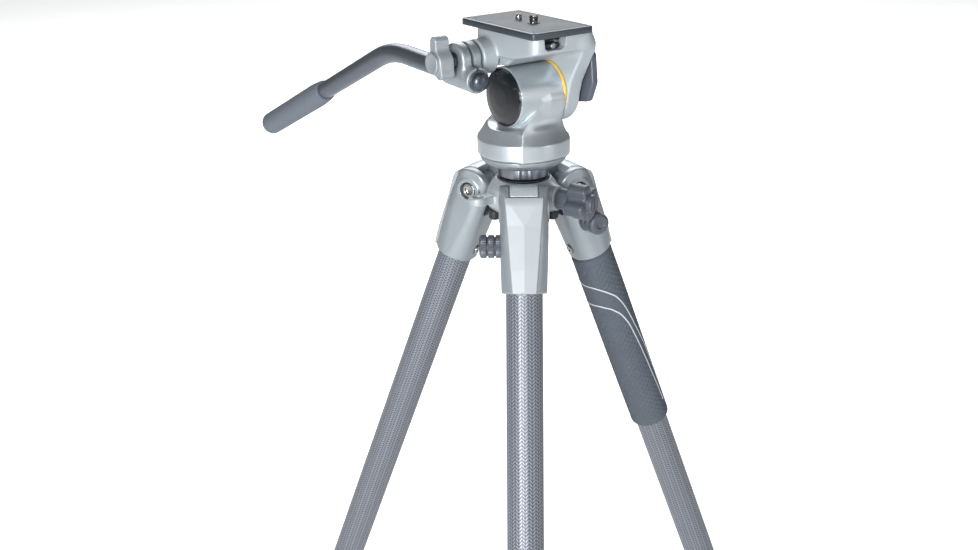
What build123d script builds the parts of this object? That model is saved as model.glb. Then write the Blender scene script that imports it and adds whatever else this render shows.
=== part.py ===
"""Three-section tripod with a two-way fluid head, in millimetres, +Z up.

The origin is on the floor under the centre column, and the front leg points along -Y.
Each leg is built in its own frame, whose origin is its hinge pin and whose z runs up the leg.
The head is built in a frame whose origin is on the column axis at the height of the tilt shaft.
"""

from build123d import *
import math
import os

# ---------------------------------------------------------------- fits and clearances
RUN = 0.05  # radial clearance of a running or sliding fit
GAP = 0.4  # air between separate moving pieces
GLUE = 0.02  # radial room for a bonded joint

# ---------------------------------------------------------------- stance
LEG_ANGLE = 21.6  # lean of each leg from the vertical, standing on its first stop
LEG_BEARINGS = {"front": 0.0, "right": 120.0, "left": -120.0}  # turned about +Z from -Y
HINGE_RADIUS = 37.5  # column axis to hinge pin

# ---------------------------------------------------------------- leg casting
CASTING_LENGTH = 60.0  # hinge pin to lower end
CASTING_TOP_WIDTH = 34.4
CASTING_END_WIDTH = 32.2
KNUCKLE_RADIUS = 16.5
FORK_WIDTH = 20.8  # slot between the casting's two cheeks
FORK_DEPTH = 16.0  # slot floor below the hinge pin
FRONT_WALL = 4.5  # wall that closes the slot on the outside
WALL_TOP = 9.0  # top of that wall above the hinge pin
SOCKET_DEPTH = 24.0
PANEL_HEIGHT = 0.9  # raised front panel
TAB_SETBACK = 2.0  # inner end of the angle tab, outside the hinge pin
CLAMP_SCREW_DROP = 50.0
CLAMP_SCREW_RADIUS = 2.6
PORT_DROP = 26.5  # accessory port below the hinge pin
PORT_RADIUS = 4.76
PORT_DEPTH = 9.0

# ---------------------------------------------------------------- leg sections
UPPER_RADIUS = 13.0
MID_RADIUS = 11.0
LOWER_RADIUS = 9.0
TUBE_WALL = 1.4
BAND_LENGTH = 18.0  # guide band at the top of a sliding section
UPPER_END = 500.0  # hinge pin to the lower end of the upper tube
MID_START = 80.0  # hinge pin to the upper end of the middle tube, sections home
LOWER_START = 105.0
LOCK_LENGTH = 48.0
LOCK_LAP = 24.0  # length of a lock that sits on the larger tube
LOCK_WALL = 4.2
LOCK_SPACE = 2.0  # air below each lock, sections home
FOOT_RADIUS = 13.0
FOOT_SOCKET = 12.0
FOOT_CORE = 7.0  # rubber between the tube's end and the centre of the foot's ball
GRIP_LENGTH = 175.0
GRIP_RADIUS = 16.2

# ---------------------------------------------------------------- canopy and column
CANOPY_TOP = 12.3  # above the hinge pins
CANOPY_BOTTOM = -20.0
HUB_RADIUS = 20.4
DOME_RADIUS = 27.8
EAR_RADIUS = 8.6
NECK_TOP = 2.8  # top of the ear's neck above the hinge pin, under the turning angle tab
PIN_RADIUS = 3.0
BOLT_HEAD_RADIUS = 5.3
BOLT_HEAD_DEPTH = 2.6
COLUMN_RADIUS = 11.5
COLUMN_LENGTH = 318.0
COLUMN_WALL = 1.6
HOOK_WIRE = 1.8
HOOK_BOW = 7.0
BUSH_WALL = 2.9
FLANGE_RADIUS = 19.3
FLANGE_HEIGHT = 1.5
LUG_BEARING = -60.0
KNOB_BEARING = 60.0
LUG_REACH = 38.0
LUG_RADIUS = 8.0
LUG_HOLE_RADIUS = 3.6
LUG_HEIGHT = 5.6
BOSS_RADIUS = 8.6
BOSS_REACH = 34.0
KNOB_SCREW_RADIUS = 4.0
KNOB_START = 36.0
KNOB_LENGTH = 21.0
KNOB_RADIUS = 13.6
TOP_PLATE_RADIUS = 18.0
TOP_PLATE_HEIGHT = 4.8
STUD_RADIUS = 4.76
STUD_LENGTH = 9.0
STUD_GRIP = 2.2  # depth of the stud held in the top plate

# ---------------------------------------------------------------- fluid head
PAN_BEARING = -53.44  # lens direction from +X at rest
BASE_HEIGHT = 9.2
DRUM_RADIUS = 33.3
DRUM_HEIGHT = 13.1
CONE_HEIGHT = 9.6
TILT_AXIS_HEIGHT = 45.5  # tilt shaft above the underside of the drum
TILT_X = 2.0  # tilt shaft ahead of the column axis
PIVOT_RADIUS = 12.0
PIVOT_TOP = 10.0  # pivot boss above the underside of the drum
NECK_WIDTH = 38.0  # neck between drum and barrel, along the head
BARREL_RADIUS = 21.5
BARREL_HALF = 18.5
END_CAP_RADIUS = 19.3
CARTRIDGE_RADIUS = 16.0
SHAFT_RADIUS = 5.0
ACCENT_WIDTH = 1.2
ARM_RADIUS = 23.0
ARM_THICKNESS = 12.0
ARM_ROOM = 1.0  # air between the arm's round end and the drum
PLATFORM_TOP = 46.0  # above the tilt shaft
PLATFORM_FRONT = 42.0
PLATFORM_BACK = -30.0
PLATFORM_SIDE = 22.0
SADDLE_RADIUS = 22.4
STACK_X = -12.0  # handle bolt, from the column axis
STACK_Z = 27.9  # handle bolt above the tilt shaft
ROSETTE_RADIUS = 12.4
ROSETTE_LENGTH = 11.2
ROSETTE_GAP = 1.6
CLAMP_RADIUS = 12.0
CLAMP_LENGTH = 16.0
HANDLE_BOLT_RADIUS = 3.5
WING_START = 3.6  # gap between clamp and wing knob
WING_LENGTH = 15.0
HANDLE_RADIUS = 7.2
HANDLE_DROP = 12.2  # tube axis below the handle bolt
SLEEVE_RADIUS = 9.2
HANDLE_BEND_RADIUS = 46.0
HANDLE_RUN = 115.0
HANDLE_RISE = 4.2
GRIP_ANGLE = 24.7
HANDLE_TAIL = 242.0
RUBBER_LENGTH = 126.0
RUBBER_RADIUS = 10.0
PLATE_LENGTH = 82.0
PLATE_WIDTH = 50.0
PLATE_HEIGHT = 4.8
PLATE_GAP = 0.2  # air between plate and platform
PLATE_X = 3.3
RAIL_DEPTH = 4.0
RAIL_WIDTH = 36.0
NOTCH_DEPTH = 11.5  # notch for the plate catch, in from the lens-side end
NOTCH_Y = -4.3
PAD_MARGIN = 3.2
PAD_HEIGHT = 0.8
CAMERA_SCREW_X = 12.0
CAMERA_SCREW_RADIUS = 3.175
CAMERA_SCREW_HEIGHT = 5.5
CAMERA_SCREW_NECK = 2.9  # below the thread, inside the plate
VIDEO_PIN_X = -5.0
VIDEO_PIN_RADIUS = 2.2
VIDEO_PIN_HEIGHT = 4.2
VIDEO_PIN_NECK = 2.0
POST_START = 0.3  # full radius of both posts begins this far above the plate
SCREW_HEAD_RADIUS = 8.0
SCREW_HEAD_HEIGHT = 2.4
LEVER_THICKNESS = 7.0
LEVER_HUB = 11.0
LEVER_STEP = 1.6  # the lever is cranked outwards from its hub, past the drum
PAN_LOCK_BEARING = 135.0

# ---------------------------------------------------------------- derived places
MID_END = UPPER_END + LOCK_LENGTH + LOCK_SPACE
LOWER_END = MID_END + LOCK_LENGTH - LOCK_LAP + LOCK_SPACE + FOOT_SOCKET
LEG_LENGTH = LOWER_END + FOOT_CORE  # hinge pin to the centre of the foot's ball
HINGE_HEIGHT = LEG_LENGTH * math.cos(math.radians(LEG_ANGLE)) + FOOT_RADIUS
FLANGE_TOP = HINGE_HEIGHT + CANOPY_TOP + FLANGE_HEIGHT
TOP_PLATE_TOP = FLANGE_TOP + TOP_PLATE_HEIGHT
BASE_TOP = TOP_PLATE_TOP + BASE_HEIGHT
DRUM_BOTTOM = BASE_TOP + GAP
TILT_HEIGHT = DRUM_BOTTOM + TILT_AXIS_HEIGHT
ARM_INNER = BARREL_HALF + ACCENT_WIDTH + GAP  # inner face of the tilt arm
ARM_OUTER = ARM_INNER + ARM_THICKNESS
CLAMP_FACE = -PLATFORM_SIDE - ROSETTE_LENGTH - ROSETTE_GAP  # clamp face beside the rosette
CLAMP_END = CLAMP_FACE - CLAMP_LENGTH
HANDLE_Y = (CLAMP_FACE + CLAMP_END) / 2
HANDLE_Z = STACK_Z - HANDLE_DROP
HANDLE_FRONT = TILT_X + 6.0  # front end of the handle tube
BUSH_INNER = COLUMN_RADIUS + RUN
BUSH_OUTER = BUSH_INNER + BUSH_WALL
COLUMN_PLUG = COLUMN_RADIUS - COLUMN_WALL - 2 * RUN  # plugs bonded into the column

os.makedirs("parts", exist_ok=True)


def save(name, piece):
    """Label one finished piece and write it to its own file."""
    piece.part.label = name
    export_step(piece.part, f"parts/{name}.step")


def upright(plane):
    """The plane through the same origin whose local axes are x and z of the given one."""
    return Plane(origin=plane.origin, x_dir=plane.x_dir, z_dir=-plane.y_dir)


def shifted(plane, x=0.0, y=0.0, z=0.0):
    """A copy of a plane moved along its own axes."""
    return Plane(origin=plane.from_local_coords((x, y, z)), x_dir=plane.x_dir, z_dir=plane.z_dir)


def turned(plane, outline):
    """A solid of revolution about the plane's z, from (radius, height) corners."""
    with BuildPart() as piece:
        with BuildSketch(upright(plane)):
            with BuildLine():
                Polyline(*outline, close=True)
            make_face()
        revolve(axis=Axis(plane.origin, plane.z_dir))
    return piece


def sleeve(plane, outer, inner, start, end):
    """A plain round tube from one height to another along the plane's z."""
    return turned(plane, [(inner, start), (outer, start), (outer, end), (inner, end)])


def bearing_plane(bearing, height):
    """A level plane on the column axis, x sideways and -y pointing out along a bearing."""
    angle = math.radians(bearing)
    return Plane(origin=(0, 0, height), x_dir=(math.cos(angle), math.sin(angle), 0), z_dir=(0, 0, 1))


def outward_plane(bearing, height, reach=0.0):
    """A plane that faces out along a bearing, with x sideways and y up."""
    level = bearing_plane(bearing, height)
    origin = level.from_local_coords((0, -reach, 0))
    return Plane(origin=origin, x_dir=level.x_dir, z_dir=-level.y_dir)


def leg_plane(bearing):
    """A leg's frame: origin on its hinge pin, x along the pin, -y outwards, z up the leg."""
    level = bearing_plane(bearing, HINGE_HEIGHT)
    lean = math.radians(LEG_ANGLE)
    up_leg = level.z_dir * math.cos(lean) + level.y_dir * math.sin(lean)
    origin = level.from_local_coords((0, -HINGE_RADIUS, 0))
    return Plane(origin=origin, x_dir=level.x_dir, z_dir=up_leg)


def across(plane, x):
    """The plane normal to a frame's x at a given x, with local axes y and z of that frame."""
    return Plane(origin=plane.from_local_coords((x, 0, 0)), x_dir=plane.y_dir, z_dir=plane.x_dir)


# ================================================================ canopy
level = Plane(origin=(0, 0, HINGE_HEIGHT), x_dir=(1, 0, 0), z_dir=(0, 0, 1))
pocket_width = CASTING_TOP_WIDTH + 2 * GAP
ear_width = FORK_WIDTH - 2 * GAP

with BuildPart() as canopy:
    with BuildSketch(upright(level)):
        with BuildLine():
            Polyline(
                (BUSH_OUTER + GLUE, CANOPY_BOTTOM),
                (HUB_RADIUS - 3.4, CANOPY_BOTTOM),
                (HUB_RADIUS, -12.0),
                (DOME_RADIUS - 2.5, -9.5),
                (DOME_RADIUS, -6.0),
                (DOME_RADIUS, 2.0),
                (DOME_RADIUS - 1.6, 6.5),
                (DOME_RADIUS - 4.8, 10.0),
                (FLANGE_RADIUS + 0.8, CANOPY_TOP),
                (BUSH_OUTER + GLUE, CANOPY_TOP),
                close=True,
            )
        make_face()
    revolve(axis=Axis.Z)
    # a pocket for each casting, left open from the hub outwards
    for bearing in LEG_BEARINGS.values():
        with BuildSketch(bearing_plane(bearing, HINGE_HEIGHT + CANOPY_BOTTOM - 1)):
            with Locations((0, -HUB_RADIUS - 15.0)):
                Rectangle(pocket_width, 30.0)
        extrude(amount=CANOPY_TOP - CANOPY_BOTTOM + 2, mode=Mode.SUBTRACT)
    # an ear for each hinge pin
    for bearing in LEG_BEARINGS.values():
        ear_frame = bearing_plane(bearing, HINGE_HEIGHT)
        with BuildSketch(across(ear_frame, -ear_width / 2)):
            with Locations((-HINGE_RADIUS, 0)):
                Circle(EAR_RADIUS)
            with Locations((-(HINGE_RADIUS + BUSH_OUTER + 1.5) / 2, (NECK_TOP - EAR_RADIUS) / 2)):
                Rectangle(HINGE_RADIUS - BUSH_OUTER - 1.5, NECK_TOP + EAR_RADIUS)
        extrude(amount=ear_width)
        with BuildSketch(across(ear_frame, -ear_width)):
            with Locations((-HINGE_RADIUS, 0)):
                Circle(PIN_RADIUS + GLUE)
        extrude(amount=2 * ear_width, mode=Mode.SUBTRACT)
    # strap eyelet
    with BuildSketch(bearing_plane(LUG_BEARING, HINGE_HEIGHT - LUG_HEIGHT / 2)):
        with Locations((0, -LUG_REACH)):
            Circle(LUG_RADIUS)
        with Locations((0, -(LUG_REACH + HUB_RADIUS) / 2)):
            Rectangle(2 * LUG_RADIUS - 2.0, LUG_REACH - HUB_RADIUS)
    extrude(amount=LUG_HEIGHT)
    with BuildSketch(bearing_plane(LUG_BEARING, HINGE_HEIGHT - LUG_HEIGHT)):
        with Locations((0, -LUG_REACH)):
            Circle(LUG_HOLE_RADIUS)
    extrude(amount=2 * LUG_HEIGHT, mode=Mode.SUBTRACT)
    # boss for the column lock
    with BuildSketch(outward_plane(KNOB_BEARING, HINGE_HEIGHT, HUB_RADIUS - 4.0)):
        Circle(BOSS_RADIUS)
    extrude(amount=BOSS_REACH - HUB_RADIUS + 4.0)
    with BuildSketch(outward_plane(KNOB_BEARING, HINGE_HEIGHT, BUSH_OUTER - 1.0)):
        Circle(KNOB_SCREW_RADIUS + RUN)
    extrude(amount=BOSS_REACH, mode=Mode.SUBTRACT)
save("canopy", canopy)

# dark bumpers under the canopy, one between each pair of legs
bumper_radius = 4.4
bumper_top = HINGE_HEIGHT - 9.5
with BuildPart() as canopy_bumpers:
    for bearing in (60.0, -60.0, 180.0):
        foot_frame = bearing_plane(bearing, bumper_top)
        with BuildSketch(foot_frame):
            with Locations((0, -(HUB_RADIUS + bumper_radius - 0.6))):
                Circle(bumper_radius)
        extrude(amount=-7.0)
    fillet(canopy_bumpers.faces().group_by(Axis.Z)[0].edges(), 2.6)
    with BuildSketch(Plane.XY.offset(HINGE_HEIGHT + CANOPY_BOTTOM)):
        Circle(HUB_RADIUS + 0.3)
    extrude(amount=CANOPY_TOP - CANOPY_BOTTOM, mode=Mode.SUBTRACT)
    # the bumper tops follow the sloping underside of the dome
    with BuildSketch(upright(level)):
        with BuildLine():
            Polyline(
                (HUB_RADIUS, -12.0),
                (DOME_RADIUS - 2.5, -9.5),
                (DOME_RADIUS, -6.0),
                (DOME_RADIUS + 9.0, -6.0),
                (DOME_RADIUS + 9.0, 3.0),
                (HUB_RADIUS, 3.0),
                close=True,
            )
        make_face()
    revolve(axis=Axis.Z, mode=Mode.SUBTRACT)
save("canopy_bumpers", canopy_bumpers)

# hinge bolts: a shaft with a cap head at each end, one for each leg
bolt_half = CASTING_TOP_WIDTH / 2 - 0.8
with BuildPart() as hinge_bolts:
    for bearing in LEG_BEARINGS.values():
        pin_frame = across(leg_plane(bearing), 0.0)
        with BuildSketch(pin_frame):
            Circle(PIN_RADIUS)
        extrude(amount=bolt_half, both=True)
        for side in (-1, 1):
            seat = shifted(pin_frame, z=side * (bolt_half - BOLT_HEAD_DEPTH))
            with BuildSketch(seat):
                Circle(BOLT_HEAD_RADIUS)
            extrude(amount=side * BOLT_HEAD_DEPTH)
            with BuildSketch(shifted(pin_frame, z=side * bolt_half)):
                RegularPolygon(2.6, 6)
            extrude(amount=-side * (BOLT_HEAD_DEPTH - 0.4), mode=Mode.SUBTRACT)
save("hinge_bolts", hinge_bolts)

# ================================================================ column
with BuildPart() as column_bush:
    with BuildSketch(upright(level)):
        with BuildLine():
            Polyline(
                (BUSH_INNER, CANOPY_BOTTOM),
                (BUSH_OUTER, CANOPY_BOTTOM),
                (BUSH_OUTER, CANOPY_TOP),
                (FLANGE_RADIUS, CANOPY_TOP),
                (FLANGE_RADIUS, CANOPY_TOP + FLANGE_HEIGHT),
                (BUSH_INNER, CANOPY_TOP + FLANGE_HEIGHT),
                close=True,
            )
        make_face()
    revolve(axis=Axis.Z)
    with BuildSketch(outward_plane(KNOB_BEARING, HINGE_HEIGHT, BUSH_INNER - 1.0)):
        Circle(KNOB_SCREW_RADIUS + RUN)
    extrude(amount=BUSH_WALL + 4.0, mode=Mode.SUBTRACT)
save("column_bush", column_bush)

column_frame = Plane(origin=(0, 0, FLANGE_TOP), x_dir=(1, 0, 0), z_dir=(0, 0, 1))
column_tube = sleeve(column_frame, COLUMN_RADIUS, COLUMN_RADIUS - COLUMN_WALL, -COLUMN_LENGTH, 0.0)
save("column_tube", column_tube)

# the top plate has a plug that is bonded into the column and a small witness notch
with BuildPart() as column_top_plate:
    with BuildSketch(upright(column_frame)):
        with BuildLine():
            Polyline(
                (0, -12.0),
                (COLUMN_PLUG, -12.0),
                (COLUMN_PLUG, 0.0),
                (TOP_PLATE_RADIUS, 0.0),
                (TOP_PLATE_RADIUS, TOP_PLATE_HEIGHT),
                (0, TOP_PLATE_HEIGHT),
                close=True,
            )
        make_face()
    revolve(axis=Axis.Z)
    with BuildSketch(Plane.XY.offset(TOP_PLATE_TOP - STUD_GRIP)):
        Circle(STUD_RADIUS + GLUE)
    extrude(amount=STUD_GRIP, mode=Mode.SUBTRACT)
    with BuildSketch(bearing_plane(3.0, FLANGE_TOP)):
        with Locations((0, -TOP_PLATE_RADIUS)):
            Rectangle(6.4, 1.2)
    extrude(amount=TOP_PLATE_HEIGHT, mode=Mode.SUBTRACT)
save("column_top_plate", column_top_plate)

stud_frame = Plane(origin=(0, 0, TOP_PLATE_TOP), x_dir=(1, 0, 0), z_dir=(0, 0, 1))
head_stud = turned(
    stud_frame,
    [(0, -STUD_GRIP), (STUD_RADIUS, -STUD_GRIP), (STUD_RADIUS, STUD_LENGTH - 0.8),
     (STUD_RADIUS - 0.8, STUD_LENGTH), (0, STUD_LENGTH)],
)
save("head_stud", head_stud)

# end cap with a weight hook hanging under it
cap_top = -COLUMN_LENGTH
with BuildPart() as column_end_cap:
    with BuildSketch(upright(column_frame)):
        with BuildLine():
            Polyline(
                (0, cap_top + 10.0),
                (COLUMN_PLUG, cap_top + 10.0),
                (COLUMN_PLUG, cap_top),
                (COLUMN_RADIUS + 1.0, cap_top),
                (COLUMN_RADIUS + 1.0, cap_top - 5.0),
                (COLUMN_RADIUS - 1.0, cap_top - 8.0),
                (0, cap_top - 8.0),
                close=True,
            )
        make_face()
    revolve(axis=Axis.Z)
    for side in (-1, 1):
        with BuildSketch(Plane.XY.offset(FLANGE_TOP + cap_top - 8.0)):
            with Locations((side * HOOK_BOW, 0)):
                Circle(HOOK_WIRE + GLUE)
        extrude(amount=5.0, mode=Mode.SUBTRACT)
save("column_end_cap", column_end_cap)

with BuildPart() as weight_hook:
    with BuildLine(Plane.XZ):
        bow_top = FLANGE_TOP + cap_top - 4.0
        bow_centre = FLANGE_TOP + cap_top - 16.0
        Line((-HOOK_BOW, bow_top), (-HOOK_BOW, bow_centre))
        ThreePointArc(
            (-HOOK_BOW, bow_centre), (0, bow_centre - HOOK_BOW), (HOOK_BOW, bow_centre)
        )
        Line((HOOK_BOW, bow_centre), (HOOK_BOW, bow_top))
    with BuildSketch(Plane(origin=(-HOOK_BOW, 0, bow_top), x_dir=(1, 0, 0), z_dir=(0, 0, 1))):
        Circle(HOOK_WIRE)
    sweep()
save("weight_hook", weight_hook)

# ================================================================ column lock knob
knob_frame = outward_plane(KNOB_BEARING, HINGE_HEIGHT)
with BuildPart() as column_knob:
    with BuildSketch(shifted(knob_frame, z=KNOB_START + 2.0)):
        Circle(KNOB_RADIUS - 4.2)
        with PolarLocations(KNOB_RADIUS - 5.4, 4, start_angle=20.0):
            SlotOverall(11.0, 8.6)
    extrude(amount=KNOB_LENGTH - 6.0)
    fillet(column_knob.faces().sort_by(Axis(knob_frame.origin, knob_frame.z_dir))[-1].edges(), 1.5)
    with BuildSketch(shifted(knob_frame, z=KNOB_START)):
        Circle(7.4)
    extrude(amount=3.0)
    with BuildSketch(shifted(knob_frame, z=KNOB_START + KNOB_LENGTH - 5.0)):
        Circle(7.4)
    extrude(amount=5.0, taper=14)
    with BuildSketch(shifted(knob_frame, z=BUSH_INNER + 0.3)):
        Circle(KNOB_SCREW_RADIUS)
    extrude(amount=KNOB_START - BUSH_INNER)
save("column_knob", column_knob)


# ================================================================ legs
def build_casting(frame):
    """The cast shoulder: fork at the hinge, socket for the upper tube, raised front panel."""
    with BuildPart() as casting:
        with BuildSketch(frame.offset(-CASTING_LENGTH)):
            RectangleRounded(CASTING_END_WIDTH, CASTING_END_WIDTH, CASTING_END_WIDTH / 2 - 0.4)
        with BuildSketch(frame.offset(-FORK_DEPTH - 4.0)):
            RectangleRounded(CASTING_TOP_WIDTH, 2 * KNUCKLE_RADIUS, 11.0)
        loft()
        with BuildSketch(frame.offset(-FORK_DEPTH - 4.0)):
            RectangleRounded(CASTING_TOP_WIDTH, 2 * KNUCKLE_RADIUS, 11.0)
        extrude(amount=FORK_DEPTH + 4.0 + KNUCKLE_RADIUS)
        # tapered raised panel down the outside
        with BuildSketch(shifted(upright(frame), z=KNUCKLE_RADIUS - 5.0)):
            with BuildLine():
                Polyline(
                    (-13.6, WALL_TOP), (13.6, WALL_TOP),
                    (8.6, -CASTING_LENGTH), (-8.6, -CASTING_LENGTH),
                    close=True,
                )
            make_face()
        extrude(amount=5.0 + PANEL_HEIGHT)
        # rounded knuckle about the hinge pin
        with BuildSketch(across(frame, -CASTING_TOP_WIDTH)):
            Circle(KNUCKLE_RADIUS + PANEL_HEIGHT)
            with Locations((0, -CASTING_LENGTH / 2)):
                Rectangle(2 * (KNUCKLE_RADIUS + PANEL_HEIGHT), CASTING_LENGTH)
        extrude(amount=2 * CASTING_TOP_WIDTH, mode=Mode.INTERSECT)
        # inner side of the knuckle is a plain round, so that it turns beside the hub
        with BuildSketch(across(frame, -CASTING_TOP_WIDTH)):
            with Locations((KNUCKLE_RADIUS, KNUCKLE_RADIUS)):
                Rectangle(2 * KNUCKLE_RADIUS, 2 * KNUCKLE_RADIUS)
            Circle(KNUCKLE_RADIUS, mode=Mode.SUBTRACT)
        extrude(amount=2 * CASTING_TOP_WIDTH, mode=Mode.SUBTRACT)
        # fork slot, closed on the outside by the front wall
        slot_floor = shifted(frame, z=-FORK_DEPTH)
        with BuildSketch(slot_floor):
            with Locations((0, FRONT_WALL / 2 + 2.0)):
                Rectangle(FORK_WIDTH, 2 * KNUCKLE_RADIUS - FRONT_WALL + 4.0)
        extrude(amount=FORK_DEPTH + KNUCKLE_RADIUS + 2.0, mode=Mode.SUBTRACT)
        with BuildSketch(shifted(frame, z=WALL_TOP)):
            Rectangle(FORK_WIDTH, 3 * KNUCKLE_RADIUS)
        extrude(amount=KNUCKLE_RADIUS, mode=Mode.SUBTRACT)
        # hinge pin bore and head recesses
        with BuildSketch(across(frame, -CASTING_TOP_WIDTH)):
            Circle(PIN_RADIUS + RUN)
        extrude(amount=2 * CASTING_TOP_WIDTH, mode=Mode.SUBTRACT)
        for side in (-1, 1):
            with BuildSketch(across(frame, side * (bolt_half - BOLT_HEAD_DEPTH - 0.1))):
                Circle(BOLT_HEAD_RADIUS + 0.5)
            extrude(amount=side * 6.0, mode=Mode.SUBTRACT)
        # tube socket, accessory port and clamp screw hole
        with BuildSketch(frame.offset(-CASTING_LENGTH)):
            Circle(UPPER_RADIUS + GLUE)
        extrude(amount=SOCKET_DEPTH, mode=Mode.SUBTRACT)
        port = shifted(frame, z=-PORT_DROP)
        with BuildSketch(across(port, -CASTING_TOP_WIDTH / 2 + PORT_DEPTH)):
            Circle(PORT_RADIUS + RUN)
        extrude(amount=-PORT_DEPTH - 2.0, mode=Mode.SUBTRACT)
        with BuildSketch(shifted(upright(shifted(frame, z=-CLAMP_SCREW_DROP)), z=-KNUCKLE_RADIUS - 4.0)):
            Circle(CLAMP_SCREW_RADIUS + GLUE)
        extrude(amount=KNUCKLE_RADIUS - UPPER_RADIUS + 6.0, mode=Mode.SUBTRACT)
    return casting


def build_angle_tab(frame):
    """The pull-out stop that sits between the cheeks above the front wall."""
    with BuildPart() as tab:
        with BuildSketch(across(frame, -FORK_WIDTH / 2 + 0.3)):
            Circle(KNUCKLE_RADIUS)
            with Locations((0, WALL_TOP + 0.3 - KNUCKLE_RADIUS)):
                Rectangle(3 * KNUCKLE_RADIUS, 2 * KNUCKLE_RADIUS, mode=Mode.SUBTRACT)
            with Locations((KNUCKLE_RADIUS - TAB_SETBACK, KNUCKLE_RADIUS)):
                Rectangle(2 * KNUCKLE_RADIUS, 2 * KNUCKLE_RADIUS, mode=Mode.SUBTRACT)
        extrude(amount=FORK_WIDTH - 0.6)
    return tab


def build_accessory_screw(frame):
    """A ribbed cap with a threaded stub that closes the accessory port."""
    port = shifted(frame, z=-PORT_DROP)
    face = -CASTING_TOP_WIDTH / 2 - GAP
    axis_frame = Plane(origin=port.origin, x_dir=port.y_dir, z_dir=-port.x_dir)
    start = -face
    ribs = [(PORT_RADIUS, start - PORT_DEPTH + 1.5), (PORT_RADIUS, start), (7.6, start)]
    for ring in range(3):
        low = start + 0.6 + ring * 6.0
        ribs += [(8.0, low), (8.0, low + 4.4), (6.9, low + 4.8), (6.9, low + 5.6)]
    top = start + 18.6
    outline = [(0, start - PORT_DEPTH + 1.5)] + ribs[:-2] + [(6.6, top - 0.6), (5.6, top), (0, top)]
    screw = turned(axis_frame, outline)
    return screw


def build_foot(frame):
    """A rubber ball foot that takes the lower tube in a socket."""
    ball = frame.offset(-LEG_LENGTH)
    socket = LEG_LENGTH - LOWER_END
    with BuildPart() as foot:
        with BuildSketch(upright(ball)):
            with BuildLine():
                Line((0, -FOOT_RADIUS), (0, socket))
                Line((0, socket), (LOWER_RADIUS + GLUE, socket))
                Line((LOWER_RADIUS + GLUE, socket), (LOWER_RADIUS + GLUE, socket + FOOT_SOCKET))
                Line((LOWER_RADIUS + GLUE, socket + FOOT_SOCKET), (FOOT_RADIUS - 1.6, socket + FOOT_SOCKET))
                Line((FOOT_RADIUS - 1.6, socket + FOOT_SOCKET), (FOOT_RADIUS, 0))
                ThreePointArc(
                    (FOOT_RADIUS, 0),
                    (FOOT_RADIUS * math.sqrt(0.5), -FOOT_RADIUS * math.sqrt(0.5)),
                    (0, -FOOT_RADIUS),
                )
            make_face()
        revolve(axis=Axis(ball.origin, ball.z_dir))
    return foot


def build_lock(frame, big, small, big_end):
    """A twist lock: a tapered collar over the end of one tube and round the next."""
    start = -(big_end - LOCK_LAP)
    end = start - LOCK_LENGTH
    step = -big_end - 0.3
    outer = big + LOCK_WALL
    outline = [
        (big + RUN, start), (outer - 1.2, start), (outer, start - 1.6), (outer, step),
        (small + LOCK_WALL + 0.8, end + 1.2), (small + LOCK_WALL, end),
        (small + RUN, end), (small + RUN, step), (big + RUN, step),
    ]
    return turned(frame, outline)


def build_section(frame, radius, start, end, bore):
    """A sliding tube with a guide band at its upper end that runs in the tube outside it."""
    band = bore - RUN
    inner = radius - TUBE_WALL
    outline = [
        (inner, -start), (band, -start), (band, -start - BAND_LENGTH),
        (radius, -start - BAND_LENGTH), (radius, -end), (inner, -end),
    ]
    return turned(frame, outline)


for side_name, bearing in LEG_BEARINGS.items():
    frame = leg_plane(bearing)
    save(f"{side_name}_casting", build_casting(frame))
    save(f"{side_name}_angle_tab", build_angle_tab(frame))
    save(f"{side_name}_accessory_screw", build_accessory_screw(frame))
    clamp_frame = upright(shifted(frame, z=-CLAMP_SCREW_DROP))
    clamp_screw = turned(
        clamp_frame,
        [(0, -UPPER_RADIUS - 0.2), (CLAMP_SCREW_RADIUS, -UPPER_RADIUS - 0.2),
         (CLAMP_SCREW_RADIUS, -KNUCKLE_RADIUS), (CLAMP_SCREW_RADIUS - 0.6, -KNUCKLE_RADIUS - 0.7),
         (0, -KNUCKLE_RADIUS - 0.7)],
    )
    save(f"{side_name}_clamp_screw", clamp_screw)
    upper_start = CASTING_LENGTH - SOCKET_DEPTH
    upper_tube = sleeve(frame, UPPER_RADIUS, UPPER_RADIUS - TUBE_WALL, -UPPER_END, -upper_start)
    save(f"{side_name}_upper_tube", upper_tube)
    save(f"{side_name}_upper_lock", build_lock(frame, UPPER_RADIUS, MID_RADIUS, UPPER_END))
    mid_bore = UPPER_RADIUS - TUBE_WALL
    save(f"{side_name}_mid_tube", build_section(frame, MID_RADIUS, MID_START, MID_END, mid_bore))
    save(f"{side_name}_lower_lock", build_lock(frame, MID_RADIUS, LOWER_RADIUS, MID_END))
    low_bore = MID_RADIUS - TUBE_WALL
    save(f"{side_name}_lower_tube", build_section(frame, LOWER_RADIUS, LOWER_START, LOWER_END, low_bore))
    save(f"{side_name}_foot", build_foot(frame))

grip_frame = leg_plane(LEG_BEARINGS["right"])
grip_top = -CASTING_LENGTH - 0.3
foam_grip = turned(
    grip_frame,
    [(UPPER_RADIUS, grip_top), (GRIP_RADIUS, grip_top),
     (GRIP_RADIUS, grip_top - GRIP_LENGTH + 2.4), (GRIP_RADIUS - 2.0, grip_top - GRIP_LENGTH),
     (UPPER_RADIUS, grip_top - GRIP_LENGTH)],
)
save("leg_foam_grip", foam_grip)

# ================================================================ pan base and body
head_x = (math.cos(math.radians(PAN_BEARING)), math.sin(math.radians(PAN_BEARING)), 0)
head = Plane(origin=(0, 0, TILT_HEIGHT), x_dir=head_x, z_dir=(0, 0, 1))
base_frame = Plane(origin=(0, 0, TOP_PLATE_TOP), x_dir=head_x, z_dir=(0, 0, 1))
drum_frame = Plane(origin=(0, 0, DRUM_BOTTOM), x_dir=head_x, z_dir=(0, 0, 1))


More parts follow.
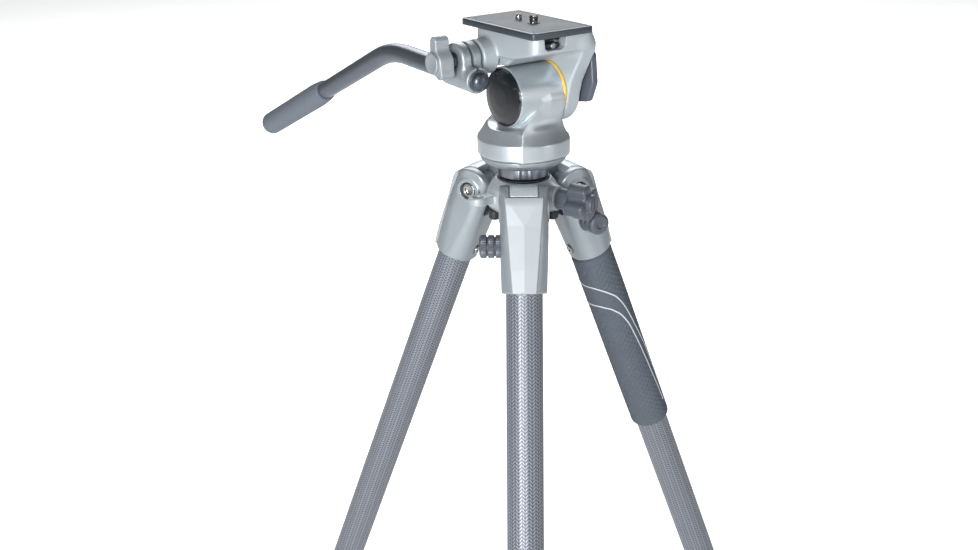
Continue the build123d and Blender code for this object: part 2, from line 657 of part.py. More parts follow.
def side_plane(y):
    """A plane across the head at local y, drawn in x and height, facing the handle side."""
    return Plane(origin=head.from_local_coords((0, y, 0)), x_dir=head.x_dir, z_dir=-head.y_dir)


with BuildPart() as pan_base:
    with BuildSketch(upright(base_frame)):
        with BuildLine():
            Polyline(
                (STUD_RADIUS + GLUE, 0), (19.5, 0), (25.0, 1.2), (28.6, 3.6), (31.0, 6.8),
                (31.9, BASE_HEIGHT), (PIVOT_RADIUS, BASE_HEIGHT),
                (PIVOT_RADIUS, BASE_HEIGHT + GAP + PIVOT_TOP), (0, BASE_HEIGHT + GAP + PIVOT_TOP),
                (0, STUD_LENGTH + GLUE), (STUD_RADIUS + GLUE, STUD_LENGTH + GLUE),
                close=True,
            )
        make_face()
    revolve(axis=Axis.Z)
save("pan_base", pan_base)

with BuildPart() as pan_body:
    with BuildSketch(upright(drum_frame)):
        with BuildLine():
            Polyline(
                (0, PIVOT_TOP + GAP), (PIVOT_RADIUS + RUN, PIVOT_TOP + GAP), (PIVOT_RADIUS + RUN, 0),
                (DRUM_RADIUS - 1.4, 0), (DRUM_RADIUS, 1.2), (DRUM_RADIUS, DRUM_HEIGHT - 1.0),
                (DRUM_RADIUS - 1.0, DRUM_HEIGHT), (24.0, DRUM_HEIGHT + CONE_HEIGHT),
                (0, DRUM_HEIGHT + CONE_HEIGHT),
                close=True,
            )
        make_face()
    revolve(axis=Axis.Z)
    # saddle that clears the accent ring and the tilt arm
    with BuildSketch(side_plane(ARM_OUTER + DRUM_RADIUS)):
        with Locations((TILT_X, 0)):
            Circle(ARM_RADIUS + ARM_ROOM)
    extrude(amount=ARM_OUTER + DRUM_RADIUS - BARREL_HALF, mode=Mode.SUBTRACT)
    # neck under the far half of the barrel
    with BuildSketch(drum_frame.offset(DRUM_HEIGHT)):
        with Locations((TILT_X, 5.5)):
            RectangleRounded(NECK_WIDTH - 4.0, 25.0, 6.0)
    with BuildSketch(drum_frame.offset(TILT_AXIS_HEIGHT - 6.0)):
        with Locations((TILT_X, 6.5)):
            RectangleRounded(NECK_WIDTH, 23.0, 6.0)
    loft()
    # barrel that holds the drag cartridge
    with BuildSketch(side_plane(BARREL_HALF)):
        with Locations((TILT_X, 0)):
            Circle(BARREL_RADIUS)
    extrude(amount=2 * BARREL_HALF)
    with BuildSketch(side_plane(BARREL_HALF + 1.0)):
        with Locations((TILT_X, 0)):
            Circle(CARTRIDGE_RADIUS + GLUE)
    extrude(amount=2 * BARREL_HALF - 2.0, mode=Mode.SUBTRACT)
    with BuildSketch(side_plane(-BARREL_HALF + 3.0)):
        with Locations((TILT_X, 0)):
            Circle(END_CAP_RADIUS + GLUE)
    extrude(amount=4.0, mode=Mode.SUBTRACT)
    # threaded hole for the pan lock
    lock_bearing = PAN_BEARING + 90.0 + PAN_LOCK_BEARING
    with BuildSketch(outward_plane(lock_bearing, DRUM_BOTTOM + DRUM_HEIGHT / 2, PIVOT_RADIUS)):
        Circle(KNOB_SCREW_RADIUS - 1.0 + RUN)
    extrude(amount=DRUM_RADIUS, mode=Mode.SUBTRACT)
save("pan_body", pan_body)

tilt_frame = Plane(origin=head.from_local_coords((TILT_X, 0, 0)), x_dir=head.x_dir, z_dir=-head.y_dir)
# in this frame z runs along the tilt shaft towards the handle side
cap_seat = BARREL_HALF - 3.0
pan_end_cap = turned(
    tilt_frame,
    [(0, cap_seat), (END_CAP_RADIUS, cap_seat), (END_CAP_RADIUS, BARREL_HALF - 0.4),
     (END_CAP_RADIUS - 1.2, BARREL_HALF + 0.3), (0, BARREL_HALF + 1.0)],
)
save("pan_end_cap", pan_end_cap)

accent_ring = turned(
    tilt_frame,
    [(CARTRIDGE_RADIUS + 1.5, -BARREL_HALF - ACCENT_WIDTH), (BARREL_RADIUS + 0.3, -BARREL_HALF - ACCENT_WIDTH),
     (BARREL_RADIUS + 0.3, -BARREL_HALF), (CARTRIDGE_RADIUS + 1.5, -BARREL_HALF)],
)
save("accent_ring", accent_ring)

drag_cartridge = turned(
    tilt_frame,
    [(SHAFT_RADIUS + RUN, -BARREL_HALF), (CARTRIDGE_RADIUS, -BARREL_HALF), (CARTRIDGE_RADIUS, 12.0),
     (SHAFT_RADIUS + RUN, 12.0)],
)
save("drag_cartridge", drag_cartridge)

# ================================================================ tilt platform
tilt_shaft = turned(
    tilt_frame,
    [(0, -ARM_INNER - 8.0), (SHAFT_RADIUS, -ARM_INNER - 8.0), (SHAFT_RADIUS, 11.0), (0, 11.0)],
)
save("tilt_shaft", tilt_shaft)

with BuildPart() as tilt_platform:
    # deck, drawn from the side
    with BuildSketch(side_plane(ARM_OUTER)):
        with BuildLine():
            Polyline(
                (PLATFORM_BACK, PLATFORM_TOP), (PLATFORM_FRONT, PLATFORM_TOP),
                (PLATFORM_FRONT - 1.0, 35.2), (18.0, 29.5), (TILT_X, 21.0), (-20.0, 21.0),
                (PLATFORM_BACK, 30.0),
                close=True,
            )
        make_face()
    extrude(amount=ARM_OUTER + PLATFORM_SIDE)
    # arm round the far end of the barrel
    with BuildSketch(side_plane(ARM_OUTER)):
        with Locations((TILT_X, 0)):
            Circle(ARM_RADIUS)
        with BuildLine():
            Polyline(
                (-22.0, 40.0), (PLATFORM_FRONT - 1.0, 40.0), (PLATFORM_FRONT - 3.0, 30.0),
                (TILT_X + ARM_RADIUS, 4.0), (TILT_X, -4.0), (TILT_X - ARM_RADIUS, 0.0),
                close=True,
            )
        make_face()
    extrude(amount=ARM_THICKNESS)
    # room for the barrel
    with BuildSketch(side_plane(ARM_INNER)):
        with Locations((TILT_X, 0)):
            Circle(SADDLE_RADIUS)
    extrude(amount=ARM_INNER + PLATFORM_SIDE + 1.0, mode=Mode.SUBTRACT)
    # rosette boss for the handle
    with BuildSketch(side_plane(-PLATFORM_SIDE + 1.2)):
        with Locations((STACK_X, STACK_Z)):
            Circle(ROSETTE_RADIUS)
    extrude(amount=ROSETTE_LENGTH + 1.2)
    with BuildSketch(side_plane(-PLATFORM_SIDE)):
        with Locations((STACK_X, STACK_Z)):
            Circle(HANDLE_BOLT_RADIUS + RUN)
    extrude(amount=ROSETTE_LENGTH + 1.0, mode=Mode.SUBTRACT)
    # shaft hole in the arm
    with BuildSketch(side_plane(ARM_INNER + 8.0)):
        with Locations((TILT_X, 0)):
            Circle(SHAFT_RADIUS + GLUE)
    extrude(amount=9.0, mode=Mode.SUBTRACT)
    # lever pivot hole in the arm
    with BuildSketch(side_plane(ARM_OUTER + 1.0)):
        with Locations((TILT_X, 0)):
            Circle(HANDLE_BOLT_RADIUS + RUN)
    extrude(amount=4.0, mode=Mode.SUBTRACT)
    # plate channel along the top
    channel = Plane(origin=head.from_local_coords((0, 0, PLATFORM_TOP - RAIL_DEPTH)),
                    x_dir=head.x_dir, z_dir=(0, 0, 1))
    with BuildSketch(channel):
        Rectangle(200.0, RAIL_WIDTH)
    extrude(amount=RAIL_DEPTH + 1.0, mode=Mode.SUBTRACT)
    # notch in the lens-side end for the plate catch
    with BuildSketch(Plane(origin=head.from_local_coords((PLATFORM_FRONT - NOTCH_DEPTH, NOTCH_Y, 0)),
                           x_dir=head.y_dir, z_dir=head.x_dir)):
        with BuildLine():
            Polyline(
                (-9.6, PLATFORM_TOP), (9.6, PLATFORM_TOP), (8.4, 39.0), (6.2, 37.4),
                (-6.2, 37.4), (-8.4, 39.0),
                close=True,
            )
        make_face()
    extrude(amount=2 * NOTCH_DEPTH, mode=Mode.SUBTRACT)
save("tilt_platform", tilt_platform)

with BuildPart() as plate_catch:
    with BuildSketch(Plane(origin=head.from_local_coords((PLATFORM_FRONT - 7.6, NOTCH_Y, 0)),
                           x_dir=head.y_dir, z_dir=head.x_dir)):
        with Locations((0, 39.9)):
            Rectangle(11.0, 3.4)
    extrude(amount=4.2)
save("plate_catch", plate_catch)

# ================================================================ locks on the head
lever_frame = Plane(origin=head.from_local_coords((TILT_X, ARM_OUTER + GAP, 0)),
                    x_dir=-head.x_dir, z_dir=head.y_dir)
with BuildPart() as tilt_lock_lever:
    with BuildSketch(lever_frame):
        Circle(LEVER_HUB)
    extrude(amount=LEVER_THICKNESS)
    with BuildSketch(shifted(lever_frame, z=LEVER_STEP)):
        with BuildLine():
            Polyline(
                (4.0, 10.2), (-24.0, 34.0), (-35.0, 30.0), (-37.0, 8.0), (-30.0, -6.0), (-4.0, -10.2),
                close=True,
            )
        make_face()
    extrude(amount=LEVER_THICKNESS - LEVER_STEP)
    with BuildSketch(shifted(lever_frame, z=-3.0)):
        Circle(HANDLE_BOLT_RADIUS)
    extrude(amount=3.0)
save("tilt_lock_lever", tilt_lock_lever)

pan_lock_frame = outward_plane(lock_bearing, DRUM_BOTTOM + DRUM_HEIGHT / 2)
with BuildPart() as pan_lock_knob:
    with BuildSketch(shifted(pan_lock_frame, z=PIVOT_RADIUS + 0.3)):
        Circle(KNOB_SCREW_RADIUS - 1.0)
    extrude(amount=DRUM_RADIUS - PIVOT_RADIUS + 2.0)
    with BuildSketch(shifted(pan_lock_frame, z=DRUM_RADIUS + GAP)):
        Circle(5.6)
    extrude(amount=4.0)
    with BuildSketch(shifted(pan_lock_frame, z=DRUM_RADIUS + 3.0)):
        Circle(6.4)
        with PolarLocations(4.6, 3):
            SlotOverall(9.0, 6.0)
    extrude(amount=11.0)
save("pan_lock_knob", pan_lock_knob)

# ================================================================ quick-release plate
plate_frame = Plane(origin=head.from_local_coords((PLATE_X, 0, PLATFORM_TOP)),
                    x_dir=head.x_dir, z_dir=(0, 0, 1))
with BuildPart() as quick_plate:
    with BuildSketch(plate_frame.offset(PLATE_GAP)):
        Rectangle(PLATE_LENGTH, PLATE_WIDTH)
    extrude(amount=PLATE_HEIGHT - PLATE_GAP)
    chamfer(quick_plate.edges().filter_by(Axis.Z), 2.2)
    chamfer(quick_plate.faces().sort_by(Axis.Z)[-1].edges(), 0.8)
    # tongue that runs in the platform's channel
    with BuildSketch(shifted(plate_frame, z=PLATE_GAP - RAIL_DEPTH + 0.4)):
        Rectangle(60.0, RAIL_WIDTH - 2 * 0.3)
    extrude(amount=RAIL_DEPTH)
    # pocket for the pad
    with BuildSketch(shifted(plate_frame, z=PLATE_HEIGHT - PAD_HEIGHT)):
        RectangleRounded(PLATE_LENGTH - 2 * PAD_MARGIN, PLATE_WIDTH - 2 * PAD_MARGIN, 1.5)
    extrude(amount=PAD_HEIGHT, mode=Mode.SUBTRACT)
    # slot for the camera screw, widened below for its head
    with BuildSketch(shifted(plate_frame, z=-RAIL_DEPTH)):
        with Locations((CAMERA_SCREW_X - PLATE_X, 0)):
            SlotOverall(2 * CAMERA_SCREW_RADIUS + 8.0, 2 * CAMERA_SCREW_RADIUS + 0.4)
    extrude(amount=3 * RAIL_DEPTH, mode=Mode.SUBTRACT)
    with BuildSketch(shifted(plate_frame, z=-RAIL_DEPTH - 1.0)):
        with Locations((CAMERA_SCREW_X - PLATE_X, 0)):
            SlotOverall(2 * SCREW_HEAD_RADIUS + 8.6, 2 * SCREW_HEAD_RADIUS + 0.6)
    extrude(amount=RAIL_DEPTH + 1.0 + 0.6, mode=Mode.SUBTRACT)
    with BuildSketch(shifted(plate_frame, z=-RAIL_DEPTH - 1.0)):
        with Locations((VIDEO_PIN_X - PLATE_X, 0)):
            Circle(VIDEO_PIN_RADIUS + RUN)
    extrude(amount=3 * RAIL_DEPTH, mode=Mode.SUBTRACT)
save("quick_plate", quick_plate)

with BuildPart() as plate_pad:
    with BuildSketch(shifted(plate_frame, z=PLATE_HEIGHT - PAD_HEIGHT)):
        RectangleRounded(PLATE_LENGTH - 2 * PAD_MARGIN - 0.2, PLATE_WIDTH - 2 * PAD_MARGIN - 0.2, 1.4)
    extrude(amount=PAD_HEIGHT + 0.1)
    with BuildSketch(shifted(plate_frame, z=PLATE_HEIGHT - 2.0)):
        with Locations((CAMERA_SCREW_X - PLATE_X, 0)):
            SlotOverall(2 * CAMERA_SCREW_RADIUS + 8.6, 2 * CAMERA_SCREW_RADIUS + 1.0)
        with Locations((VIDEO_PIN_X - PLATE_X, 0)):
            Circle(VIDEO_PIN_RADIUS + 0.3)
    extrude(amount=4.0, mode=Mode.SUBTRACT)
save("plate_pad", plate_pad)

screw_frame = Plane(origin=head.from_local_coords((CAMERA_SCREW_X, 0, PLATFORM_TOP)),
                    x_dir=head.x_dir, z_dir=(0, 0, 1))
screw_top = PLATE_HEIGHT + CAMERA_SCREW_HEIGHT
head_low = -RAIL_DEPTH + 1.4
camera_screw = turned(
    screw_frame,
    [(0, head_low), (SCREW_HEAD_RADIUS, head_low), (SCREW_HEAD_RADIUS, head_low + SCREW_HEAD_HEIGHT),
     (CAMERA_SCREW_NECK, head_low + SCREW_HEAD_HEIGHT), (CAMERA_SCREW_NECK, PLATE_HEIGHT + POST_START),
     (CAMERA_SCREW_RADIUS, PLATE_HEIGHT + POST_START), (CAMERA_SCREW_RADIUS, screw_top - 0.7),
     (CAMERA_SCREW_RADIUS - 0.7, screw_top), (0, screw_top)],
)
save("camera_screw", camera_screw)

pin_frame = Plane(origin=head.from_local_coords((VIDEO_PIN_X, 0, PLATFORM_TOP)),
                  x_dir=head.x_dir, z_dir=(0, 0, 1))
pin_top = PLATE_HEIGHT + VIDEO_PIN_HEIGHT
video_pin = turned(
    pin_frame,
    [(0, 0.6), (VIDEO_PIN_NECK, 0.6), (VIDEO_PIN_NECK, PLATE_HEIGHT + POST_START),
     (VIDEO_PIN_RADIUS, PLATE_HEIGHT + POST_START), (VIDEO_PIN_RADIUS, pin_top - 1.0),
     (VIDEO_PIN_RADIUS - 1.0, pin_top), (0, pin_top)],
)
save("video_pin", video_pin)

# ================================================================ pan handle
slope = math.atan2(HANDLE_RISE, HANDLE_RUN)

tube_axis = Vector(-math.cos(slope), 0, math.sin(slope))
handle_origin = head.from_local_coords((HANDLE_FRONT, HANDLE_Y, HANDLE_Z))
handle_dir = head.from_local_coords(tube_axis) - head.origin
handle_frame = Plane(origin=handle_origin, x_dir=head.y_dir, z_dir=handle_dir)

with BuildPart() as handle_clamp:
    with BuildSketch(side_plane(CLAMP_FACE)):
        with Locations((STACK_X, STACK_Z)):
            Circle(CLAMP_RADIUS)
        with BuildLine():
            Polyline(
                (STACK_X - 11.0, STACK_Z - 2.0), (STACK_X + 11.0, STACK_Z - 4.0),
                (STACK_X + 13.0, HANDLE_Z), (STACK_X - 15.0, HANDLE_Z),
                close=True,
            )
        make_face()
    extrude(amount=CLAMP_LENGTH)
    with BuildSketch(shifted(handle_frame, z=2.0)):
        Circle(SLEEVE_RADIUS)
    extrude(amount=34.0)
    with BuildSketch(shifted(handle_frame, z=-10.0)):
        Circle(HANDLE_RADIUS + GLUE)
    extrude(amount=60.0, mode=Mode.SUBTRACT)
    with BuildSketch(side_plane(CLAMP_FACE + 1.0)):
        with Locations((STACK_X, STACK_Z)):
            Circle(HANDLE_BOLT_RADIUS + RUN)
    extrude(amount=CLAMP_LENGTH + 2.0, mode=Mode.SUBTRACT)
save("handle_clamp", handle_clamp)

stack_frame = Plane(origin=head.from_local_coords((STACK_X, 0, STACK_Z)), x_dir=head.x_dir, z_dir=-head.y_dir)
wing_start = -CLAMP_END + WING_START
with BuildPart() as wing_knob:
    with BuildSketch(shifted(stack_frame, z=PLATFORM_SIDE + 1.0)):
        Circle(HANDLE_BOLT_RADIUS)
    extrude(amount=wing_start - PLATFORM_SIDE)
    with BuildSketch(shifted(stack_frame, z=wing_start - 2.4)):
        Circle(6.0)
    extrude(amount=3.0)
    with BuildSketch(shifted(stack_frame, z=wing_start)):
        Circle(8.6)
        with Locations((0, 8.0)):
            SlotOverall(17.0, 9.0, rotation=62)
        with Locations((0, -8.0)):
            SlotOverall(17.0, 9.0, rotation=62)
    extrude(amount=WING_LENGTH - 3.0)
    with BuildSketch(shifted(stack_frame, z=wing_start)):
        Circle(7.2)
    extrude(amount=WING_LENGTH)
save("wing_knob", wing_knob)

bend = (HANDLE_FRONT - HANDLE_RUN, HANDLE_Z + HANDLE_RISE)
tail_fall = math.radians(GRIP_ANGLE)
tail = (bend[0] - HANDLE_TAIL * math.cos(tail_fall), bend[1] - HANDLE_TAIL * math.sin(tail_fall))
with BuildPart() as handle_tube:
    with BuildLine(side_plane(HANDLE_Y)):
        FilletPolyline((HANDLE_FRONT, HANDLE_Z), bend, tail, radius=HANDLE_BEND_RADIUS)
    with BuildSketch(handle_frame):
        Circle(HANDLE_RADIUS)
        Circle(HANDLE_RADIUS - 1.5, mode=Mode.SUBTRACT)
    sweep()
save("handle_tube", handle_tube)

cap_plug = HANDLE_RADIUS - 1.5 - GLUE
handle_end_cap = turned(
    handle_frame,
    [(0, 6.0), (cap_plug, 6.0), (cap_plug, 0.0), (HANDLE_RADIUS - 0.2, 0.0), (HANDLE_RADIUS - 0.5, -1.6),
     (HANDLE_RADIUS - 1.8, -3.4), (HANDLE_RADIUS - 4.0, -4.6), (0, -5.2)],
)
save("handle_end_cap", handle_end_cap)

tail_dir = head.from_local_coords(Vector(-math.cos(tail_fall), 0, -math.sin(tail_fall))) - head.origin
tail_origin = head.from_local_coords((tail[0], HANDLE_Y, tail[1]))
rubber_frame = Plane(origin=tail_origin, x_dir=head.y_dir, z_dir=tail_dir)
handle_grip = turned(
    rubber_frame,
    [(HANDLE_RADIUS, -RUBBER_LENGTH + 6.0), (HANDLE_RADIUS + 1.6, -RUBBER_LENGTH + 6.0),
     (RUBBER_RADIUS - 0.6, -RUBBER_LENGTH + 12.0), (RUBBER_RADIUS, -RUBBER_LENGTH + 22.0),
     (RUBBER_RADIUS, 2.0), (RUBBER_RADIUS - 1.4, 5.0), (RUBBER_RADIUS - 4.6, 6.6), (0, 7.0),
     (0, 0.3), (HANDLE_RADIUS, 0.3)],
)
save("handle_grip", handle_grip)

print("hinge height", round(HINGE_HEIGHT, 2), "tilt height", round(TILT_HEIGHT, 2))
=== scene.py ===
# %% [markdown]
# # A tripod with a fluid head
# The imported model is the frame: every part already sits where it belongs, in metres.
# This lesson puts finished surfaces around it. Round parts are profiles carried round an
# axis, tubes are profiles carried along a path, and the cast parts are the skin of a
# formula that says how far any point is from the metal.

# %% Load the frame
import math
import bpy
import numpy as np
from mathutils import Matrix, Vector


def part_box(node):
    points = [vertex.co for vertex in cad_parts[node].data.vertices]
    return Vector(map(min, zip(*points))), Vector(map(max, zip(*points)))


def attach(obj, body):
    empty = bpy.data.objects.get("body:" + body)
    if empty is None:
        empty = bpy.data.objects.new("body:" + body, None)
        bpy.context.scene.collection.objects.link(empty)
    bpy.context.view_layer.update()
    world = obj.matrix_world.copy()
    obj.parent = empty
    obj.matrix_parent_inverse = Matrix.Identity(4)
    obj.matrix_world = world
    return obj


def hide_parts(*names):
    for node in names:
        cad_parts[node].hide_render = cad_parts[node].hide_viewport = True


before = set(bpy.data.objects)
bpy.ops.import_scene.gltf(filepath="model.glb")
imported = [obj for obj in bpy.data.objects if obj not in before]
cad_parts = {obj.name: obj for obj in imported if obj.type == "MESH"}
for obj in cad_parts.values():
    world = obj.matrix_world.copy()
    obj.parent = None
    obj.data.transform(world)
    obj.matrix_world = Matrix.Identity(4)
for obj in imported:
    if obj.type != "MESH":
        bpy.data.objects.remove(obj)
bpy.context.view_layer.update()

# %% [markdown]
# ## Places
# Shapes are easier to write in millimetres, each in a frame of its own: a leg's frame has
# its origin on the hinge pin and its z up the leg, and the head's frame has its origin on
# the column axis at the height of the tilt shaft, with x towards the lens and y to the far
# side. A frame here is an origin and three axes, and one matrix product places a piece.

# %% Frames of the legs and the head
MM = 0.001
LEG_ANGLE = math.radians(21.6)
HINGE_RADIUS = 37.5
LEGS = {"front": 0.0, "right": 120.0, "left": -120.0}
CANOPY_DROP = 20.0  # hinge pins above the canopy's lowest edge
TILT_RISE = 45.5  # tilt shaft above the underside of the drum
LENS_BEARING = math.radians(-53.44)
hinge_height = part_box("canopy")[0].z / MM + CANOPY_DROP
tilt_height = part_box("pan_body")[0].z / MM + TILT_RISE


def place_of(origin, x_dir, z_dir):
    """An origin and three axes as rows, with y = z cross x."""
    x, z = np.array(x_dir, float), np.array(z_dir, float)
    x, z = x / np.linalg.norm(x), z / np.linalg.norm(z)
    return np.array(origin, float), np.array([x, np.cross(z, x), z])


def shifted(place, x=0.0, y=0.0, z=0.0):
    """The same axes with the origin moved along them."""
    origin, axes = place
    return origin + np.array([x, y, z]) @ axes, axes


def level_place(bearing, height=hinge_height):
    """A level frame on the column axis: x sideways, -y out along a bearing from -Y."""
    a = math.radians(bearing)
    return place_of((0, 0, height), (math.cos(a), math.sin(a), 0), (0, 0, 1))


def leg_place(bearing):
    """x along the hinge pin, -y outwards, z up the leg, which leans by the leg angle."""
    origin, (x, y, z) = level_place(bearing)
    up = z * math.cos(LEG_ANGLE) + y * math.sin(LEG_ANGLE)
    return place_of(origin - HINGE_RADIUS * y, x, up)


def outward_place(bearing, height, reach=0.0):
    """z out along a bearing and y up."""
    origin, (x, y, z) = level_place(bearing, height)
    return place_of(origin - reach * y, x, -y)


head = place_of((0, 0, tilt_height), (math.cos(LENS_BEARING), math.sin(LENS_BEARING), 0), (0, 0, 1))
head_x, head_y, head_z = head[1]
canopy_place = level_place(0.0)
print("hinge pins at", round(hinge_height, 2), "mm, tilt shaft at", round(tilt_height, 2), "mm")

# %% [markdown]
# ## From arrays to a mesh
# `piece` puts whole arrays into a mesh with foreach_set and hangs it on its body. `lattice`
# turns a grid of points that closes round its columns into faces: a row whose points all
# coincide becomes a pole, and the seam shares its vertices, so nothing is left open.

# %% Mesh helpers
SHARP = math.radians(40)


def piece(name, shape, finish, body, place, replaces=(), sharp=SHARP):
    """shape is (points, list of face arrays, uv or None) in the frame `place`, in millimetres."""
    points, faces, uv = shape
    origin, axes = place
    world = (origin + points @ axes) * MM
    corners = np.concatenate([f.ravel() for f in faces]).astype(np.int32)
    sizes = np.concatenate([np.full(len(f), f.shape[1]) for f in faces])
    starts = (np.cumsum(sizes) - sizes).astype(np.int32)
    mesh = bpy.data.meshes.new(name)
    mesh.vertices.add(len(world))
    mesh.vertices.foreach_set("co", world.astype(np.float32).ravel())
    mesh.loops.add(len(corners))
    mesh.loops.foreach_set("vertex_index", corners)
    mesh.polygons.add(len(sizes))
    mesh.polygons.foreach_set("loop_start", starts)
    mesh.update(calc_edges=True)
    if uv is not None:
        mesh.uv_layers.new(name="lie").data.foreach_set("uv", uv.astype(np.float32).ravel())
    mesh.polygons.foreach_set("use_smooth", np.ones(len(sizes), bool))
    mesh.set_sharp_from_angle(angle=sharp)
    mesh.materials.append(finish)
    made = bpy.data.objects.new(name, mesh)
    bpy.context.scene.collection.objects.link(made)
    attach(made, body)
    if replaces:
        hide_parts(*replaces)
    print(name, len(sizes), "faces on", body)
    return made


def lattice(points, loop=False, around=None, girth=None):
    """An (n, m) grid of points closed round its columns. uv counts `around` repeats round the
    piece and the same length of repeat along it, measured down column 0."""
    n, m = points.shape[:2]
    number = np.arange(n * m).reshape(n, m)
    pole = np.ptp(points, axis=1).max(1) < 1e-7
    number[pole] = number[pole][:, :1]
    i, j = np.meshgrid(np.arange(n if loop else n - 1), np.arange(m), indexing="ij")
    nxt = (j + 1) % m
    row, up = i[:, 0], (i[:, 0] + 1) % n
    quad = np.stack([number[row[:, None], j], number[row[:, None], nxt],
                     number[up[:, None], nxt], number[up[:, None], j]], -1)
    step = np.linalg.norm(np.diff(points[:, 0], axis=0, append=points[:1, 0]), axis=1)
    along = np.concatenate([[0.0], np.cumsum(step)])
    repeat = (girth or 1.0) / (around or 1)
    across = np.stack([j, j + 1, j + 1, j], -1) / m * (around or 1)
    rise = np.stack([along[i], along[i], along[i + 1], along[i + 1]], -1) / repeat
    uv = np.stack([across, rise], -1)
    starts_at_pole, ends_at_pole = pole[row][:, None] & (j >= 0), pole[up][:, None] & (j >= 0)
    plain = ~starts_at_pole & ~ends_at_pole
    parts, layers = [], []
    for chosen, keep in ((plain, [0, 1, 2, 3]), (starts_at_pole & ~ends_at_pole, [0, 2, 3]),
                         (ends_at_pole & ~starts_at_pole, [0, 1, 2])):
        if chosen.any():
            parts.append(quad[chosen][:, keep])
            layers.append(uv[chosen][:, keep].reshape(-1, 2))
    return tidy(points.reshape(-1, 3), parts, np.concatenate(layers))


def tidy(points, parts, uv=None):
    """Drops the points that no face uses and renumbers the rest."""
    used, fresh = np.unique(np.concatenate([p.ravel() for p in parts]), return_inverse=True)
    cuts = np.cumsum([p.size for p in parts])[:-1]
    parts = [f.reshape(p.shape) for f, p in zip(np.split(fresh.ravel(), cuts), parts)]
    return points[used], parts, uv


def together(*shapes):
    """Several shapes as one, their faces renumbered. Patterns are dropped."""
    points, parts, count = [], [], 0
    for p, faces, _ in shapes:
        points.append(p)
        parts += [f + count for f in faces]
        count += len(p)
    return np.concatenate(points), parts, None


def carried(shape, place):
    """A shape moved out of a frame of its own, so that several can be joined in one mesh."""
    points, faces, uv = shape
    origin, axes = place
    return origin + points @ axes, faces, uv


# %% Profiles carried round an axis and along a path
def rounded(corners, radius, closed=False, steps=5):
    """Each corner becomes the curve (1-t)^2 a + 2t(1-t) corner + t^2 b, where a and b lie
    `radius` before and after it, or less where an edge is short."""
    c = np.array(corners, float)
    if closed:
        before, middle, after = np.roll(c, 1, 0), c, np.roll(c, -1, 0)
    else:
        before, middle, after = c[:-2], c[1:-1], c[2:]
    back, on = before - middle, after - middle
    lb, lo = np.linalg.norm(back, axis=1), np.linalg.norm(on, axis=1)
    reach = np.minimum(np.minimum(radius, 0.45 * lb), 0.45 * lo)[:, None]
    a, b = middle + back / lb[:, None] * reach, middle + on / lo[:, None] * reach
    t = np.linspace(0, 1, steps)[None, :, None]
    arc = (1 - t) ** 2 * a[:, None] + 2 * t * (1 - t) * middle[:, None] + t ** 2 * b[:, None]
    arc = arc.reshape(-1, 2)
    return arc if closed else np.concatenate([c[:1], arc, c[-1:]])


def turned(profile, turns=72, loop=False, around=None, girth=None, wave=None):
    """Each (radius, height) pair goes round the z axis: (r cos t, r sin t, h). wave(t, r, h)
    is added to the radius, for ribs and lobes."""
    profile = np.array(profile, float)
    r, h = profile[:, :1], profile[:, 1:]
    t = np.linspace(0, 2 * np.pi, turns, endpoint=False)[None]
    r = r + (0 * t if wave is None else wave(t, r, h))
    return lattice(np.stack([r * np.cos(t), r * np.sin(t), h + 0 * t], -1), loop, around, girth)


def swept(path, radius, side, turns=48, around=None, girth=None):
    """A circle of `radius` carried along a path that bends in one plane: side is the normal
    of that plane, and up is the path's direction crossed with it."""
    path, side = np.array(path, float), np.array(side, float)
    direction = np.gradient(path, axis=0)
    direction /= np.linalg.norm(direction, axis=1)[:, None]
    up = np.cross(direction, side)
    t = np.linspace(0, 2 * np.pi, turns, endpoint=False)[None, :, None]
    ring = np.cos(t) * side + np.sin(t) * up[:, None]
    grown = path[:, None] + np.broadcast_to(radius, len(path))[:, None, None] * ring
    ends = [np.broadcast_to(path[k], (1, turns, 3)) for k in (0, -1)]
    return lattice(np.concatenate([ends[0], grown, ends[1]]), False, around, girth)


def stacked(outline, rows):
    """A flat outline carried up through (inset, height) rows: each row is the outline moved
    inwards along its own normals. It closes on its middle at both ends."""
    p = np.array(outline, float)
    tangent = np.roll(p, -1, 0) - np.roll(p, 1, 0)
    tangent /= np.linalg.norm(tangent, axis=1)[:, None]
    inward = np.stack([-tangent[:, 1], tangent[:, 0]], -1)
    inset, height = np.array(rows, float).T
    flat = p[None] + inset[:, None, None] * inward[None]
    ring = np.concatenate([flat, np.broadcast_to(height[:, None, None], flat.shape[:2] + (1,))], -1)
    middle = np.broadcast_to(p.mean(0), (len(p), 2))
    ends = [np.concatenate([middle, np.full((len(p), 1), h)], -1)[None] for h in (height[0], height[-1])]
    return lattice(np.concatenate([ends[0], ring, ends[1]]))


def oblong(length, width, corner, steps=6):
    """The corners of a rectangle about the origin, rounded, going anticlockwise."""
    x, y = length / 2, width / 2
    return rounded([(x, -y), (x, y), (-x, y), (-x, -y)], corner, closed=True, steps=steps)


# %% [markdown]
# ## Castings as formulas
# A cast part has no sharp edges, and its walls flow into each other. A distance formula says
# that directly: the distance to a rod, a block or an outline is simple, `join` takes the
# smaller of two distances and rounds the crease between them, and `cut` takes metal away.
# The skin is then found on a fine grid of cells: every cell that the surface crosses gets one
# vertex, neighbouring cells are joined by quads, and each vertex slides onto the surface.

# %% Distance formulas
def far(*parts):
    """The length of a vector: sqrt(x^2 + y^2 + ...)."""
    return np.sqrt(sum(p * p for p in parts))


def join(a, b, soft=0.0):
    """min(a, b), lowered by h^2 soft / 4 where h = 1 - |a - b| / soft is positive."""
    soft = np.maximum(soft, 1e-6)
    h = np.maximum(soft - np.abs(a - b), 0.0) / soft
    return np.minimum(a, b) - h * h * soft / 4


def both(a, b, soft=0.0):
    """What lies inside both: the join of the outsides, turned round."""
    return -join(-a, -b, soft)


